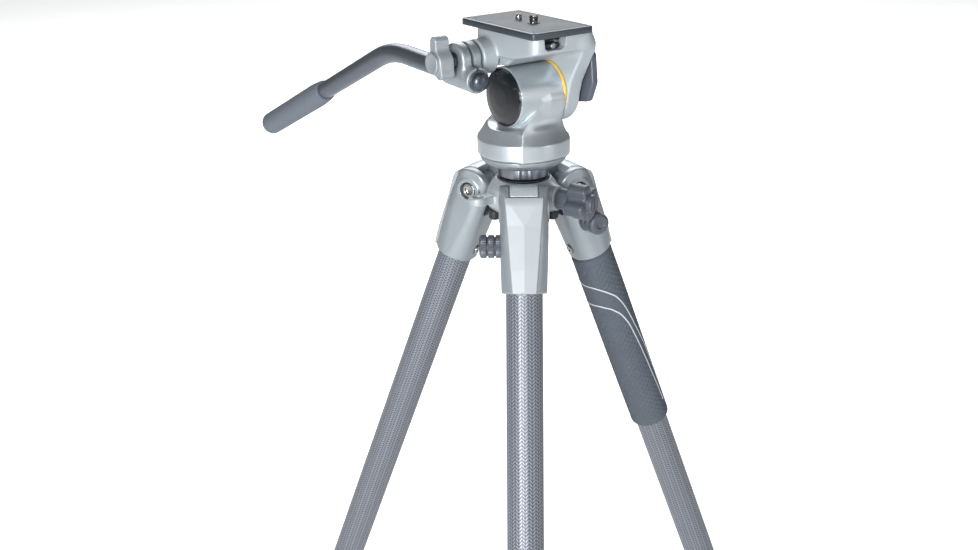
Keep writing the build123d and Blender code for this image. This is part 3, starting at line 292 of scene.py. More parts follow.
def cut(a, b, soft=0.0):
    """a without b."""
    return both(a, -b, soft)


def layered(flat, along, half, edge=0.0):
    """An outline's distance carried along an axis to +-half, with its rims rounded by edge."""
    q, w = flat + edge, np.abs(along) - half + edge
    return far(np.maximum(q, 0), np.maximum(w, 0)) + np.minimum(np.maximum(q, w), 0) - edge


def oval(x, y, half_x, half_y, corner):
    """A rectangle with round corners, as a flat distance."""
    qx, qy = np.abs(x) - half_x + corner, np.abs(y) - half_y + corner
    return far(np.maximum(qx, 0), np.maximum(qy, 0)) + np.minimum(np.maximum(qx, qy), 0) - corner


def rod(u, v, along, radius, half, edge=0.0):
    """A round bar: a circle's distance, carried along its axis."""
    return layered(far(u, v) - radius, along, half, edge)


def outline(u, v, corners, soft=0.0):
    """Distance to a polygon: the nearest of its edges, negative where the winding is odd."""
    best, inside = None, None
    points = np.array(corners, float)
    for (ax, ay), (bx, by) in zip(points, np.roll(points, -1, 0)):
        ex, ey, wx, wy = bx - ax, by - ay, u - ax, v - ay
        t = np.clip((wx * ex + wy * ey) / (ex * ex + ey * ey), 0, 1)
        gap = (wx - ex * t) ** 2 + (wy - ey * t) ** 2
        best = gap if best is None else np.minimum(best, gap)
        crosses = ((ay > v) != (by > v)) & (u < ex * (v - ay) / (ey if ey else 1e-9) + ax)
        inside = crosses if inside is None else inside ^ crosses
    return np.where(inside, -1.0, 1.0) * np.sqrt(best) - soft


# %% The skin of a formula
COARSER = 1.0


def skin(formula, low, high, step):
    """The surface formula = 0 inside a box: one vertex in each cell that it crosses, at the
    mean of its edge crossings, then moved by -f grad f / |grad f|^2 twice."""
    step = step * COARSER
    low = np.array(low, float)
    count = np.ceil((np.array(high) - low) / step).astype(int) + 1
    gx, gy, gz = (low[k] + step * np.arange(count[k]) for k in range(3))
    value = formula(gx[:, None, None], gy[None, :, None], gz[None, None, :])
    value = np.broadcast_to(value, tuple(count)).astype(np.float32)
    inside = value < 0
    cell = count - 1
    total = sum(inside[a:a + cell[0], b:b + cell[1], c:c + cell[2]].astype(np.int8)
                for a in (0, 1) for b in (0, 1) for c in (0, 1))
    where = np.argwhere((total > 0) & (total < 8))
    number = np.full(cell, -1, np.int64)
    number[tuple(where.T)] = np.arange(len(where))
    spot, hits = np.zeros((len(where), 3)), np.zeros(len(where))
    unit = np.eye(3, dtype=int)
    for axis in range(3):
        others = [k for k in range(3) if k != axis]
        for da in (0, 1):
            for db in (0, 1):
                start = where + da * unit[others[0]] + db * unit[others[1]]
                v0, v1 = value[tuple(start.T)], value[tuple((start + unit[axis]).T)]
                hit = (v0 < 0) != (v1 < 0)
                t = v0[hit] / (v0[hit] - v1[hit])
                spot[hit] += start[hit] + t[:, None] * unit[axis]
                hits[hit] += 1
    points = low + step * spot / hits[:, None]
    quads = []
    for axis in range(3):
        b, c = (axis + 1) % 3, (axis + 2) % 3
        first = np.moveaxis(inside, axis, 0)
        change = np.moveaxis(first[1:] != first[:-1], 0, axis)
        at = np.argwhere(change)
        at = at[(at[:, b] > 0) & (at[:, c] > 0) & (at[:, b] < cell[b]) & (at[:, c] < cell[c])]
        ring = [number[tuple((at - s * unit[b] - t * unit[c]).T)]
                for s, t in ((1, 1), (0, 1), (0, 0), (1, 0))]
        ring = np.stack(ring, -1)
        starts_inside = inside[tuple(at.T)]
        quads.append(np.where(starts_inside[:, None], ring, ring[:, ::-1]))
    h = 0.2 * step
    for _ in range(2):
        f = formula(*points.T)
        slope = np.stack([formula(*(points + h * e).T) - formula(*(points - h * e).T)
                          for e in np.eye(3)], -1) / (2 * h)
        move = f[:, None] * slope / np.maximum((slope ** 2).sum(1), 0.2)[:, None]
        points = points - np.clip(move, -0.6 * step, 0.6 * step)
    return points, [np.concatenate(quads)], None

# %% [markdown]
# ## Finishes
# Node groups hold what several finishes share: the grain and wear of a painted casting, and
# the weave of a carbon tube. Each group only puts out colours, roughness and heights; the
# Principled shader stays in the material, where its own sockets hold the even values.

# %% Node helpers
def linear(*rgb):
    """Screen colour 0..255 to the light values that shaders use."""
    c = np.array(rgb, float) / 255
    return (*np.where(c <= 0.04045, c / 12.92, ((c + 0.055) / 1.055) ** 2.4), 1.0)


def add(tree, kind, inputs=None, **settings):
    """A node with its settings and its inputs, each a value or a socket to link."""
    node = tree.nodes.new(kind)
    for key, value in settings.items():
        setattr(node, key, value)
    for key, value in (inputs or {}).items():
        if isinstance(value, bpy.types.NodeSocket):
            tree.links.new(value, node.inputs[key])
        else:
            node.inputs[key].default_value = value
    return node


def calc(tree, operation, *values):
    """One Math node: its output socket."""
    return add(tree, "ShaderNodeMath", dict(enumerate(values)), operation=operation).outputs[0]


def new_group(name, inputs, outputs):
    """A shader node group with named sockets, and its two end nodes."""
    tree = bpy.data.node_groups.new(name, "ShaderNodeTree")
    kinds = {"c": "NodeSocketColor", "f": "NodeSocketFloat", "v": "NodeSocketVector"}
    for label, kind, value in inputs:
        tree.interface.new_socket(name=label, in_out="INPUT", socket_type=kinds[kind]).default_value = value
    for label, kind in outputs:
        tree.interface.new_socket(name=label, in_out="OUTPUT", socket_type=kinds[kind])
    return tree, tree.nodes.new("NodeGroupInput").outputs, tree.nodes.new("NodeGroupOutput").inputs


# %% Grain and wear, the group that painted, moulded and plated surfaces share
grain, given, puts = new_group(
    "grain_and_wear",
    [("Colour", "c", (0.5, 0.5, 0.5, 1)), ("Roughness", "f", 0.4), ("Grain", "f", 1500.0),
     ("Mottle", "f", 0.1), ("Wear", "f", 0.2)],
    [("Colour", "c"), ("Roughness", "f"), ("Height", "f")],
)
spot = add(grain, "ShaderNodeTexCoord").outputs["Object"]
fine = add(grain, "ShaderNodeTexNoise", {"Vector": spot, "Scale": given["Grain"], "Detail": 2.0}).outputs[0]
broad = add(grain, "ShaderNodeTexNoise", {"Vector": spot, "Scale": 42.0, "Detail": 3.0}).outputs[0]
scuff = add(grain, "ShaderNodeTexNoise", {"Vector": spot, "Scale": 260.0, "Detail": 4.0}).outputs[0]
shift = calc(grain, "MULTIPLY", calc(grain, "SUBTRACT", broad, 0.5), given["Mottle"])
speck = calc(grain, "MULTIPLY", calc(grain, "SUBTRACT", fine, 0.5), given["Mottle"])
edge = add(grain, "ShaderNodeMapRange", {"Value": add(grain, "ShaderNodeNewGeometry").outputs["Pointiness"],
                                         "From Min": 0.53, "From Max": 0.62}).outputs[0]
worn = calc(grain, "MULTIPLY", calc(grain, "MULTIPLY", edge, scuff), given["Wear"])
bright = calc(grain, "ADD", calc(grain, "ADD", 1.0, calc(grain, "ADD", shift, speck)), worn)
toned = add(grain, "ShaderNodeHueSaturation", {"Color": given["Colour"], "Value": bright})
grain.links.new(toned.outputs[0], puts["Colour"])
ruffled = calc(grain, "ADD", given["Roughness"], calc(grain, "MULTIPLY", shift, 1.2))
grain.links.new(calc(grain, "SUBTRACT", ruffled, calc(grain, "MULTIPLY", worn, 0.3)), puts["Roughness"])
grain.links.new(fine, puts["Height"])

# %% Woven carbon, a group that reads the tube's own uv
# Stripes climb with the height plus |column - 1|, so they turn back at every column's edge.
braid, given, puts = new_group(
    "carbon_braid",
    [("Light", "c", (0.3, 0.3, 0.3, 1)), ("Dark", "c", (0.1, 0.1, 0.1, 1))],
    [("Colour", "c"), ("Roughness", "f"), ("Height", "f")],
)
chart = add(braid, "ShaderNodeUVMap", uv_map="lie").outputs[0]
lie = add(braid, "ShaderNodeSeparateXYZ", {0: chart}).outputs
column = calc(braid, "FLOORED_MODULO", lie[0], 2.0)
climb = calc(braid, "ADD", lie[1], calc(braid, "ABSOLUTE", calc(braid, "SUBTRACT", column, 1.0)))
over = calc(braid, "LESS_THAN", column, 1.0)


def tow(across):
    """A tow's round top: 1 - (2 t - 1)^2 across its width."""
    from_middle = calc(braid, "SUBTRACT", calc(braid, "MULTIPLY", across, 2.0), 1.0)
    return calc(braid, "SUBTRACT", 1.0, calc(braid, "POWER", from_middle, 2.0))


crown = tow(calc(braid, "FRACT", climb))
width = calc(braid, "MULTIPLY", tow(calc(braid, "FRACT", lie[0])), 0.6)
height = calc(braid, "MULTIPLY", crown, calc(braid, "ADD", 0.4, width))
under = calc(braid, "SUBTRACT", 1.0, over)
strand = add(braid, "ShaderNodeTexNoise", {"Vector": chart, "Scale": 3.0, "Detail": 3.0}).outputs[0]
tone = calc(braid, "ADD", calc(braid, "MULTIPLY", height, 0.85), calc(braid, "MULTIPLY", over, 0.06))
tone = calc(braid, "ADD", tone, calc(braid, "MULTIPLY", calc(braid, "SUBTRACT", strand, 0.5), 0.5))
mixed = add(braid, "ShaderNodeMix", {0: tone, 6: given["Dark"], 7: given["Light"]}, data_type="RGBA")
braid.links.new(mixed.outputs[2], puts["Colour"])
braid.links.new(calc(braid, "ADD", 0.4, calc(braid, "MULTIPLY", under, 0.1)), puts["Roughness"])
braid.links.new(height, puts["Height"])
print("groups", [g.name for g in bpy.data.node_groups])


# %% The finishes themselves
def finish_of(name, source, inputs, depth, **even):
    """A material: one group feeds a Principled shader and a Bump node, and `even` holds the
    values that are the same all over, with _ for a space."""
    made = bpy.data.materials.new(name)
    made.use_nodes = True
    tree = made.node_tree
    tree.nodes.clear()
    group = add(tree, "ShaderNodeGroup", node_tree=source)
    for key, value in inputs.items():
        group.inputs[key].default_value = value
    puts = group.outputs
    bump = add(tree, "ShaderNodeBump", {"Height": puts["Height"], "Distance": depth, "Strength": 0.6})
    shader = add(tree, "ShaderNodeBsdfPrincipled", {
        "Base Color": puts["Colour"], "Roughness": puts["Roughness"], "Normal": bump.outputs[0],
        **{key.replace("_", " "): value for key, value in even.items()}})
    out = tree.nodes.new("ShaderNodeOutputMaterial")
    tree.links.new(shader.outputs[0], out.inputs[0])
    return made


def coated(name, rgb, rough, metal=0.0, grain_size=1500.0, depth=2e-5, mottle=0.1, wear=0.15, **even):
    """A finish from the grain group: its screen colour, roughness, metal, grain and wear."""
    inputs = {"Colour": linear(*rgb), "Roughness": rough, "Grain": grain_size, "Mottle": mottle,
              "Wear": wear}
    return finish_of(name, grain, inputs, depth, Metallic=metal, **even)


cast_paint = coated("casting_paint", (146, 154, 159), 0.40, 0.55, 1700.0)
panel_paint = coated("panel_paint", (146, 152, 156), 0.50, 0.1, 1700.0)
tab_paint = coated("tab_paint", (186, 194, 200), 0.40, 0.35, 1700.0)
platform_paint = coated("platform_paint", (158, 166, 171), 0.44, 0.3, 1700.0)
barrel_paint = coated("barrel_paint", (184, 192, 197), 0.34, 0.75, 1700.0)
plate_metal = coated("plate_metal", (74, 81, 89), 0.36, 0.6, 2200.0)
pad_rubber = coated("pad_rubber", (112, 120, 126), 0.60, 0.0, 2600.0, 5e-5)
chrome = coated("chrome", (170, 170, 170), 0.22, 1.0, 900.0, 4e-6, 0.04)
silver_metal = coated("silver_metal", (140, 147, 156), 0.30, 0.85, 900.0, 6e-6)
wing_metal = coated("wing_metal", (140, 147, 152), 0.46, 0.3, 1900.0)
knob_plastic = coated("knob_plastic", (70, 76, 85), 0.36, 0.0, 1400.0, 2e-5, 0.1, 0.3)
dark_plastic = coated("dark_plastic", (30, 33, 37), 0.42, 0.0, 1400.0)
cap_gloss = coated("cap_gloss", (15, 18, 23), 0.14, 0.0, 300.0, 4e-6, 0.1, 0.1, Coat_Weight=0.6)
cap_dark = coated("cap_dark", (74, 80, 88), 0.28, 0.7, 900.0, 6e-6)
accent_yellow = coated("accent_yellow", (236, 186, 58), 0.34, 0.3, 1500.0)
tube_anodised = coated("tube_anodised", (98, 105, 114), 0.32, 0.7, 1200.0, 8e-6)
column_anodised = coated("column_anodised", (92, 97, 104), 0.34, 0.7, 1200.0, 8e-6)
grip_rubber = coated("grip_rubber", (92, 100, 110), 0.56, 0.0, 1900.0, 6e-5, 0.12, 0.1)
lock_rubber = coated("lock_rubber", (52, 56, 62), 0.62, 0.0, 1900.0, 6e-5, 0.14)
foam_skin = coated("foam_skin", (70, 77, 86), 0.80, 0.0, 1100.0, 1.6e-4, 0.3, 0.0)
pale_line = coated("pale_line", (178, 184, 192), 0.5, 0.0, 1500.0)
carbon = finish_of("carbon_tube", braid, {"Light": linear(144, 150, 160), "Dark": linear(28, 32, 39)},
                   1.6e-4, Metallic=0.3, Coat_Weight=0.1, Coat_Roughness=0.35)
print("finishes", len(bpy.data.materials))

# %% [markdown]
# ## Studio
# A pale floor runs far behind the tripod, so it is also the backdrop. The main soft light
# stands beside the camera and the sky is brightest behind it, while the lights at both sides
# are weak: satin metal only shows its form where the light falls away.

# %% Floor, sky, lights and camera
EYE = (-0.0066, -0.8226, (hinge_height + 94.8 + 172.6) * MM)
EYE_PITCH, EYE_TURN, EYE_ROLL = math.radians(22.02), math.radians(1.36), math.radians(0.81)

floor_mesh = bpy.data.meshes.new("floor")
floor_mesh.from_pydata([(-30, -30, 0), (30, -30, 0), (30, 30, 0), (-30, 30, 0)], [], [(0, 1, 2, 3)])
floor = bpy.data.objects.new("floor", floor_mesh)
bpy.context.scene.collection.objects.link(floor)
paper = coated("floor_paper", (240, 241, 242), 0.8, 0.0, 30.0, 1e-5, 0.01, 0.0,
               Emission_Color=(1.0, 1.0, 1.0, 1.0))
seen = add(paper.node_tree, "ShaderNodeLightPath").outputs["Is Camera Ray"]
paper_shader = next(node for node in paper.node_tree.nodes if node.type == "BSDF_PRINCIPLED")
glow = calc(paper.node_tree, "ADD", calc(paper.node_tree, "MULTIPLY", seen, 0.55), 0.12)
paper.node_tree.links.new(glow, paper_shader.inputs["Emission Strength"])
floor_mesh.materials.append(paper)

world = bpy.data.worlds.new("studio")
bpy.context.scene.world = world
world.use_nodes = True
sky = world.node_tree
sky.nodes.clear()
direction = add(sky, "ShaderNodeTexCoord").outputs["Generated"]
_, ahead, tall = add(sky, "ShaderNodeSeparateXYZ", {0: direction}).outputs
ramp = add(sky, "ShaderNodeValToRGB", {0: tall})
ground, zenith = ramp.color_ramp.elements
ground.position, ground.color = 0.0, (1, 1, 1, 1)
zenith.position, zenith.color = 0.55, (0.10, 0.105, 0.115, 1)
strength = add(sky, "ShaderNodeMapRange", {"Value": ahead, "From Min": -0.95, "From Max": 0.1,
                                           "To Min": 0.72, "To Max": 0.22}).outputs[0]
back = add(sky, "ShaderNodeBackground", {0: ramp.outputs[0], 1: strength})
sky.links.new(back.outputs[0], sky.nodes.new("ShaderNodeOutputWorld").inputs[0])


def soft_light(name, place, aim, size, power):
    """A rectangular area light at `place`, turned to `aim`."""
    lamp = bpy.data.lights.new(name, "AREA")
    lamp.shape, lamp.size, lamp.size_y, lamp.energy = "RECTANGLE", size[0], size[1], power
    lamp_object = bpy.data.objects.new(name, lamp)
    away = np.array(place, float) - np.array(aim, float)
    side = np.cross((0, 0, 1), away)
    _, (x, y, z) = place_of(place, side, away)
    rows = [[*r, p] for r, p in zip(np.array([x, y, z]).T, place)]
    lamp_object.matrix_world = Matrix(rows + [[0, 0, 0, 1]])
    bpy.context.scene.collection.objects.link(lamp_object)


middle = (0.0, 0.0, 0.55)
soft_light("key_front", (-0.55, -2.0, 0.85), middle, (0.7, 0.9), 62)
soft_light("side_left", (-1.8, -0.5, 0.9), middle, (0.3, 1.3), 1.0)
soft_light("side_right", (1.8, -0.9, 0.9), middle, (0.4, 1.4), 5)
soft_light("front_high", (0.1, -1.5, 1.9), middle, (1.0, 0.5), 5)
soft_light("back_wash", (0.0, 2.6, 2.2), (0, 1.6, 0), (3.0, 2.0), 90)

lens = bpy.data.cameras.new("studio_camera")
lens.sensor_width, lens.lens, lens.clip_start = 36.0, 1177.0 * 36.0 / 978.0, 0.01
camera = bpy.data.objects.new("studio_camera", lens)
bpy.context.scene.collection.objects.link(camera)
level = math.cos(EYE_PITCH)
look = np.array([-math.sin(EYE_TURN) * level, math.cos(EYE_TURN) * level, -math.sin(EYE_PITCH)])
right = np.array([math.cos(EYE_TURN), math.sin(EYE_TURN), 0.0])
down = np.cross(look, right)
right, down = (math.cos(EYE_ROLL) * right + math.sin(EYE_ROLL) * down,
               math.cos(EYE_ROLL) * down - math.sin(EYE_ROLL) * right)
axes = np.array([right, -down, -look]).T
camera.matrix_world = Matrix([[*r, p] for r, p in zip(axes, EYE)] + [[0, 0, 0, 1]])
bpy.context.scene.camera = camera
bpy.context.scene.view_settings.view_transform = "Standard"
print("camera", [round(v, 3) for v in EYE])

# %% [markdown]
# ## The leg casting
# The shoulder of each leg is an aluminium casting: a rounded shell that narrows to the tube,
# a fork that swings on the hinge pin, and a tapered panel down the outside with a shallow
# ridge. It is one formula in the leg's frame, used three times.

# %% Leg castings
def on_each_leg(name, shape, finish, body, node=None, drop=0.0):
    """The same shape on the three legs, `drop` below the pin, each on its own leg's body."""
    for side, bearing in LEGS.items():
        piece(f"{side}_{name}", shape, finish, f"{side}_{body}", shifted(leg_place(bearing), z=-drop),
              [f"{side}_{node}"] if node else ())


FORK_HALF, KNUCKLE, WALL_TOP, CASTING_END = 10.4, 16.5, 7.0, 60.0
PORT_DROP, CLAMP_DROP = 26.5, 50.0  # accessory port and clamp screw below the pin
PIN_BORE, SOCKET_R, SOCKET_DEPTH = 3.05, 13.03, 24.0
BOLT_TIP, BOLT_SEAT = 16.4, 13.8


def casting_formula(x, y, z):
    """A rectangle with round corners that narrows downwards, met by the round knuckle, with two
    bolt bosses joined on, and the fork, bores and socket cut out."""
    down = np.clip((-20.0 - z) / 40.0, 0.0, 1.0)
    shell = oval(x, y, 17.2 - 1.1 * down, 16.5 - 0.4 * down, 11.0 + 4.7 * down)
    metal = both(shell, far(y, np.maximum(z, 0.0)) - KNUCKLE, 2.0)
    metal = both(metal, -CASTING_END - z, 1.8)
    metal = join(metal, rod(y, z, np.abs(x) - 15.0, 9.6, 2.7, 0.8), 1.0)
    fork = both(both(np.abs(x) - FORK_HALF, -12.0 - y, 1.5), -16.0 - z, 4.0)
    metal = cut(metal, fork, 0.6)
    metal = cut(metal, both(np.abs(x) - FORK_HALF, WALL_TOP - z), 0.8)
    metal = cut(metal, rod(y, z, x, PIN_BORE, 30.0))
    metal = cut(metal, rod(y, z, np.abs(x) - 17.2, 6.5, 4.0), 0.4)
    metal = cut(metal, rod(x, y, z + CASTING_END, SOCKET_R, SOCKET_DEPTH))
    metal = cut(metal, rod(y, z + PORT_DROP, x + 17.2, 4.85, 9.0))
    metal = cut(metal, rod(y, z + PORT_DROP, x + 18.2, 8.7, 2.6), 0.5)
    return cut(metal, rod(x, z + CLAMP_DROP, y - 17.6, 4.2, 2.2), 0.5)


casting = skin(casting_formula, (-18.6, -18.4, -61.0), (18.6, 17.4, 17.4), 0.43)
on_each_leg("shoulder", casting, cast_paint, "leg", "casting")


def panel_formula(x, y, z):
    """A tapered slab bent round the knuckle. Its face falls away by 0.075 either side of a V
    that runs down into one upright ridge, and fades into the casting at its lower end."""
    half = 13.6 - 5.0 * (WALL_TOP - z) / 67.0
    ridge = 0.075 * np.maximum(0.0, np.abs(x) - np.maximum(0.0, (z + 13.0) * 0.66))
    fade = 0.9 * np.clip((-44.0 - z) / 16.0, 0.0, 1.0)
    panel = both(far(y, np.maximum(z, 0.0)) - 17.5 + ridge + fade, np.abs(x) - half, 0.9)
    panel = both(panel, both(z - WALL_TOP, -CASTING_END + 0.2 - z), 0.7)
    return both(panel, y + 13.5)


panel = skin(panel_formula, (-14.4, -18.4, -60.6), (14.4, -13.0, 7.6), 0.33)
on_each_leg("face_panel", panel, panel_paint, "leg")


def tab_formula(x, y, z):
    """A slice of a cylinder about the pin, above the panel, with a shallow finger groove."""
    tab = both(rod(y, z, x, 16.9, 10.05, 1.2), 7.5 - z, 0.5)
    tab = both(tab, y + 2.2, 0.6)
    return cut(tab, far(y + 14.6, z - 11.6) - 1.2, 1.2)


tab = skin(tab_formula, (-10.6, -17.4, 6.9), (10.6, -1.6, 17.4), 0.38)
on_each_leg("stop_tab", tab, tab_paint, "angle_tab", "angle_tab")

# %% [markdown]
# ## Screws, bolts and caps
# Small turned parts are profiles carried round an axis. A hexagon socket is the same surface
# with its inner rows pushed from a circle out to a hexagon.

# %% Hinge bolts, clamp screws and accessory caps
WORLD = (np.zeros(3), np.eye(3))


def hexagon(limit):
    """A wave that turns rows inside `limit` into hexagons: r / cos(t) - r within each sixth."""
    def wave(t, r, h):
        """The push outwards at one point."""
        sixth = (t + np.pi / 6) % (np.pi / 3) - np.pi / 6
        return np.where((r < limit) & (r > 0.1), r * (1 / np.cos(sixth) - 1), 0.0)
    return wave


bolt_head = turned(rounded([(0, BOLT_SEAT), (5.3, BOLT_SEAT), (5.3, BOLT_TIP), (3.1, BOLT_TIP + 0.1),
                            (2.7, 14.7), (0, 14.4)], 0.7), 48, wave=hexagon(3.0))
reach = BOLT_SEAT + 0.1
shank = turned([(0, -reach), (3.0, -reach), (3.0, reach), (0, reach)], 32)
bolts = []
for bearing in LEGS.values():
    pin, (x, y, z) = leg_place(bearing)
    bolts += [carried(bolt_head, place_of(pin, y, x)), carried(bolt_head, place_of(pin, y, -x)),
              carried(shank, place_of(pin, y, x))]
piece("hinge_bolt_set", together(*bolts), chrome, "canopy", WORLD, ["hinge_bolts"])

# A dark ring on the floor of each bolt recess is a washer and also painted shade for the depth of the recess.
ring_profile = rounded([(5.2, 13.4), (6.45, 13.4), (6.45, 14.6), (5.2, 14.6)], 0.2, closed=True)
shade_ring = turned(ring_profile, 48, True)
for side, bearing in LEGS.items():
    pin, (x, y, z) = leg_place(bearing)
    rings = [carried(shade_ring, place_of(pin, y, way)) for way in (x, -x)]
    piece(f"{side}_bolt_rings", together(*rings), dark_plastic, f"{side}_leg", WORLD)

clamp_profile = rounded([(0, 12.8), (2.6, 12.8), (2.6, 15.6), (3.7, 15.6), (3.7, 16.9), (2.0, 17.2),
                         (1.8, 15.9), (0, 15.8)], 0.5)
clamp_head = turned(clamp_profile, 40, wave=hexagon(2.1))
rib = [(8.0, 0.0), (8.0, 4.0), (6.8, 4.3), (6.8, 5.0)]
ribs = [(r, 15.9 + 5.3 * k + h) for k in range(3) for r, h in rib]
cap_profile = rounded([(0, 9.2), (4.7, 9.2), (4.7, 15.6), (7.2, 15.6)] + ribs[:-2]
                      + [(7.2, 30.9), (6.2, 31.6), (3.2, 31.6), (2.9, 30.0), (0, 29.9)], 0.6)


def knurl(t, r, h):
    """Fine teeth on the wide rings only."""
    return np.where(r > 7.85, 0.16 * np.cos(40 * t), 0.0) + np.where(h > 29.5, hexagon(3.1)(t, r, h), 0.0)


ribbed_cap = turned(cap_profile, 160, wave=knurl)
for side, bearing in LEGS.items():
    pin, (x, y, z) = leg_place(bearing)
    port, screw = pin - PORT_DROP * z, pin - CLAMP_DROP * z
    piece(f"{side}_ribbed_cap", ribbed_cap, knob_plastic, f"{side}_accessory_screw",
          place_of(port, y, -x), [f"{side}_accessory_screw"])
    piece(f"{side}_clamp_bolt", clamp_head, chrome, f"{side}_leg", place_of(screw, x, y),
          [f"{side}_clamp_screw"])

# %% [markdown]
# ## Legs
# The tubes are carbon in a herringbone: tows climb one way in one column and the other way
# in the next. The pattern follows the uv that `lattice` lays on them, a whole even number of
# repeats round each tube, so it closes at the seam.

# %% Tubes
BRAID_PITCH = 2.5


def tube_shape(outer, inner, start, end, band=None):
    """A sleeve from `start` to `end` below the pin, with a wider guide band at its top if given."""
    rows = [(inner, -end), (outer, -end), (outer, -start), (inner, -start)]
    if band:
        rows[2:3] = [(outer, -start - 18.0), (band, -start - 18.0), (band, -start)]
    girth = 2 * math.pi * outer
    return turned(rows, 96, True, 2 * round(girth / BRAID_PITCH / 2), girth)


UPPER_R, MID_R, LOWER_R, TUBE_WALL = 13.0, 11.0, 9.0, 1.4
UPPER_END, MID_END, LOWER_END = 500.0, 550.0, 588.0
upper_bore, mid_bore = UPPER_R - TUBE_WALL, MID_R - TUBE_WALL
TUBES = {"thick": (UPPER_R, 36.0, UPPER_END, None, "leg", "upper_tube"),
         "middle": (MID_R, 80.0, MID_END, upper_bore - 0.05, "mid_leg", "mid_tube"),
         "thin": (LOWER_R, 105.0, LOWER_END, mid_bore - 0.05, "lower_leg", "lower_tube")}
for size, (radius, start, end, band, body, node) in TUBES.items():
    tube = tube_shape(radius, radius - TUBE_WALL, start, end, band)
    on_each_leg(f"{size}_tube", tube, carbon, body, node)

# %% Twist locks and feet
LOCK_LENGTH, LOCK_LAP, LOCK_WALL = 48.0, 24.0, 4.2


def lock_shape(big, small, big_end):
    """A collar that steps down to the next tube. Its rubber has twelve soft hollows: the radius
    falls by 0.55 (1 - cos 12 t) / 2 between its two plain rims."""
    start = -(big_end - LOCK_LAP)
    end, step, outer = start - LOCK_LENGTH, -big_end - 0.3, big + LOCK_WALL
    low, foot = end + 1.2, small + LOCK_WALL
    sides = np.linspace(start - 4.0, step + 2.0, 9)
    rows = [(small + 0.05, end), (foot, end), (foot + 0.8, low), (outer, step)]
    rows += [(outer, h) for h in sides[::-1]]
    rows += [(outer, start - 2.0), (outer - 1.4, start), (big + 0.05, start), (big + 0.05, step),
             (small + 0.05, step)]

    def hollows(t, r, h):
        """The depth of the hollows, fading out at both rims."""
        share = np.clip((h - step - 2.0) / 3.0, 0, 1) * np.clip((start - 4.0 - h) / 3.0, 0, 1)
        return np.where(r > outer - 0.1, -0.55 * share * (1 - np.cos(12 * t)), 0.0)
    return turned(rounded(rows, 0.7, closed=True, steps=4), 144, True, wave=hollows)


FOOT_R, LEG_LENGTH = 13.0, 595.0
foot_arc = np.radians(np.linspace(-90, 0, 14))
foot_rows = [(FOOT_R * math.cos(a), FOOT_R * math.sin(a)) for a in foot_arc]
foot_rows[0] = (0.0, -FOOT_R)
foot_rows += [(12.6, 4.0), (12.0, 4.6), (12.0, 5.8), (12.5, 6.4), (11.9, 12.0), (11.3, 12.6), (11.3, 13.8),
              (11.8, 14.4), (11.5, 18.2), (10.7, 19.0), (9.02, 19.0), (9.02, 7.0), (0.0, 7.0)]
foot_shape = turned(foot_rows, 72)
high_lock, low_lock = lock_shape(UPPER_R, MID_R, UPPER_END), lock_shape(MID_R, LOWER_R, MID_END)
on_each_leg("twist_lock_high", high_lock, lock_rubber, "upper_lock", "upper_lock")
on_each_leg("twist_lock_low", low_lock, lock_rubber, "lower_lock", "lower_lock")
on_each_leg("ball_foot", foot_shape, lock_rubber, "lower_leg", "foot", LEG_LENGTH)

# %% [markdown]
# ## Foam grip
# One leg has a foam sleeve, moulded with rows of small dimples and crossed by two raised pale
# lines that sweep round it. The dimples are real hollows in the surface: the radius drops by
# a bell curve round each point of a staggered pattern.

# %% Foam grip and its lines
FOAM_R, FOAM_TOP, FOAM_LENGTH, DIMPLES_AROUND, DIMPLE_PITCH = 16.2, -60.3, 175.0, 20, 5.1
LINE_HIGH = np.array([(60, -83.0), (80, -84.4), (125, -86.0), (153, -91.4), (179, -99.6), (194, -110.9),
                      (204, -125.7), (215, -144.5), (223, -158.0), (229, -180.0), (233, -206.0)])
LINE_LOW = np.array([(60, -103.5), (79, -103.8), (121, -104.0), (153, -108.7), (175, -117.0), (189, -129.0),
                     (197, -145.4), (204, -164.4), (212, -190.5), (217, -206.0), (220, -218.0)])


def foam_shape():
    """Rows of r = FOAM_R, drawn in at both ends, less 0.75 exp(-(d / 0.95)^2) at distance d from
    the nearest dimple. Rows of dimples stand half a pitch apart."""
    s = np.linspace(FOAM_TOP - FOAM_LENGTH, FOAM_TOP, 226)[:, None]
    t = np.linspace(0, 2 * np.pi, 144, endpoint=False)[None]
    from_end = np.minimum(FOAM_TOP - s, s - FOAM_TOP + FOAM_LENGTH)
    waist = 0.15 * np.cos(np.clip(from_end / 30, 0, 1) * np.pi / 2)
    r = FOAM_R - 2.2 * np.maximum(0, 1 - from_end / 3.0) ** 2 - waist
    a, b = t / (2 * np.pi) * DIMPLES_AROUND, (s - FOAM_TOP) / DIMPLE_PITCH
    girth = 2 * np.pi * FOAM_R / DIMPLES_AROUND
    hollow = 0.0
    for half in (0.0, 0.5):
        da, db = (a + half) % 1.0 - 0.5, (b + half) % 1.0 - 0.5
        hollow = hollow + np.exp(-((da * girth) ** 2 + (db * DIMPLE_PITCH) ** 2) / 0.95 ** 2)
    between = (s < np.interp(np.degrees(t), LINE_LOW[:, 0], LINE_LOW[:, 1]) - 3.0) | (
        s > np.interp(np.degrees(t), LINE_HIGH[:, 0], LINE_HIGH[:, 1]) + 3.0)
    r = r - 0.75 * hollow * np.clip((from_end - 4) / 3, 0, 1) * between
    outer = np.stack([r * np.cos(t), r * np.sin(t), s + 0 * t], -1)
    inner = np.stack([13.05 * np.cos(t), 13.05 * np.sin(t), 0 * t], -1)
    top, low = inner + [0, 0, FOAM_TOP], inner + [0, 0, FOAM_TOP - FOAM_LENGTH]
    return lattice(np.concatenate([low, outer, top]), True)


foam = piece("foam_sleeve", foam_shape(), foam_skin, "right_leg", leg_place(LEGS["right"]),
             ["leg_foam_grip"])


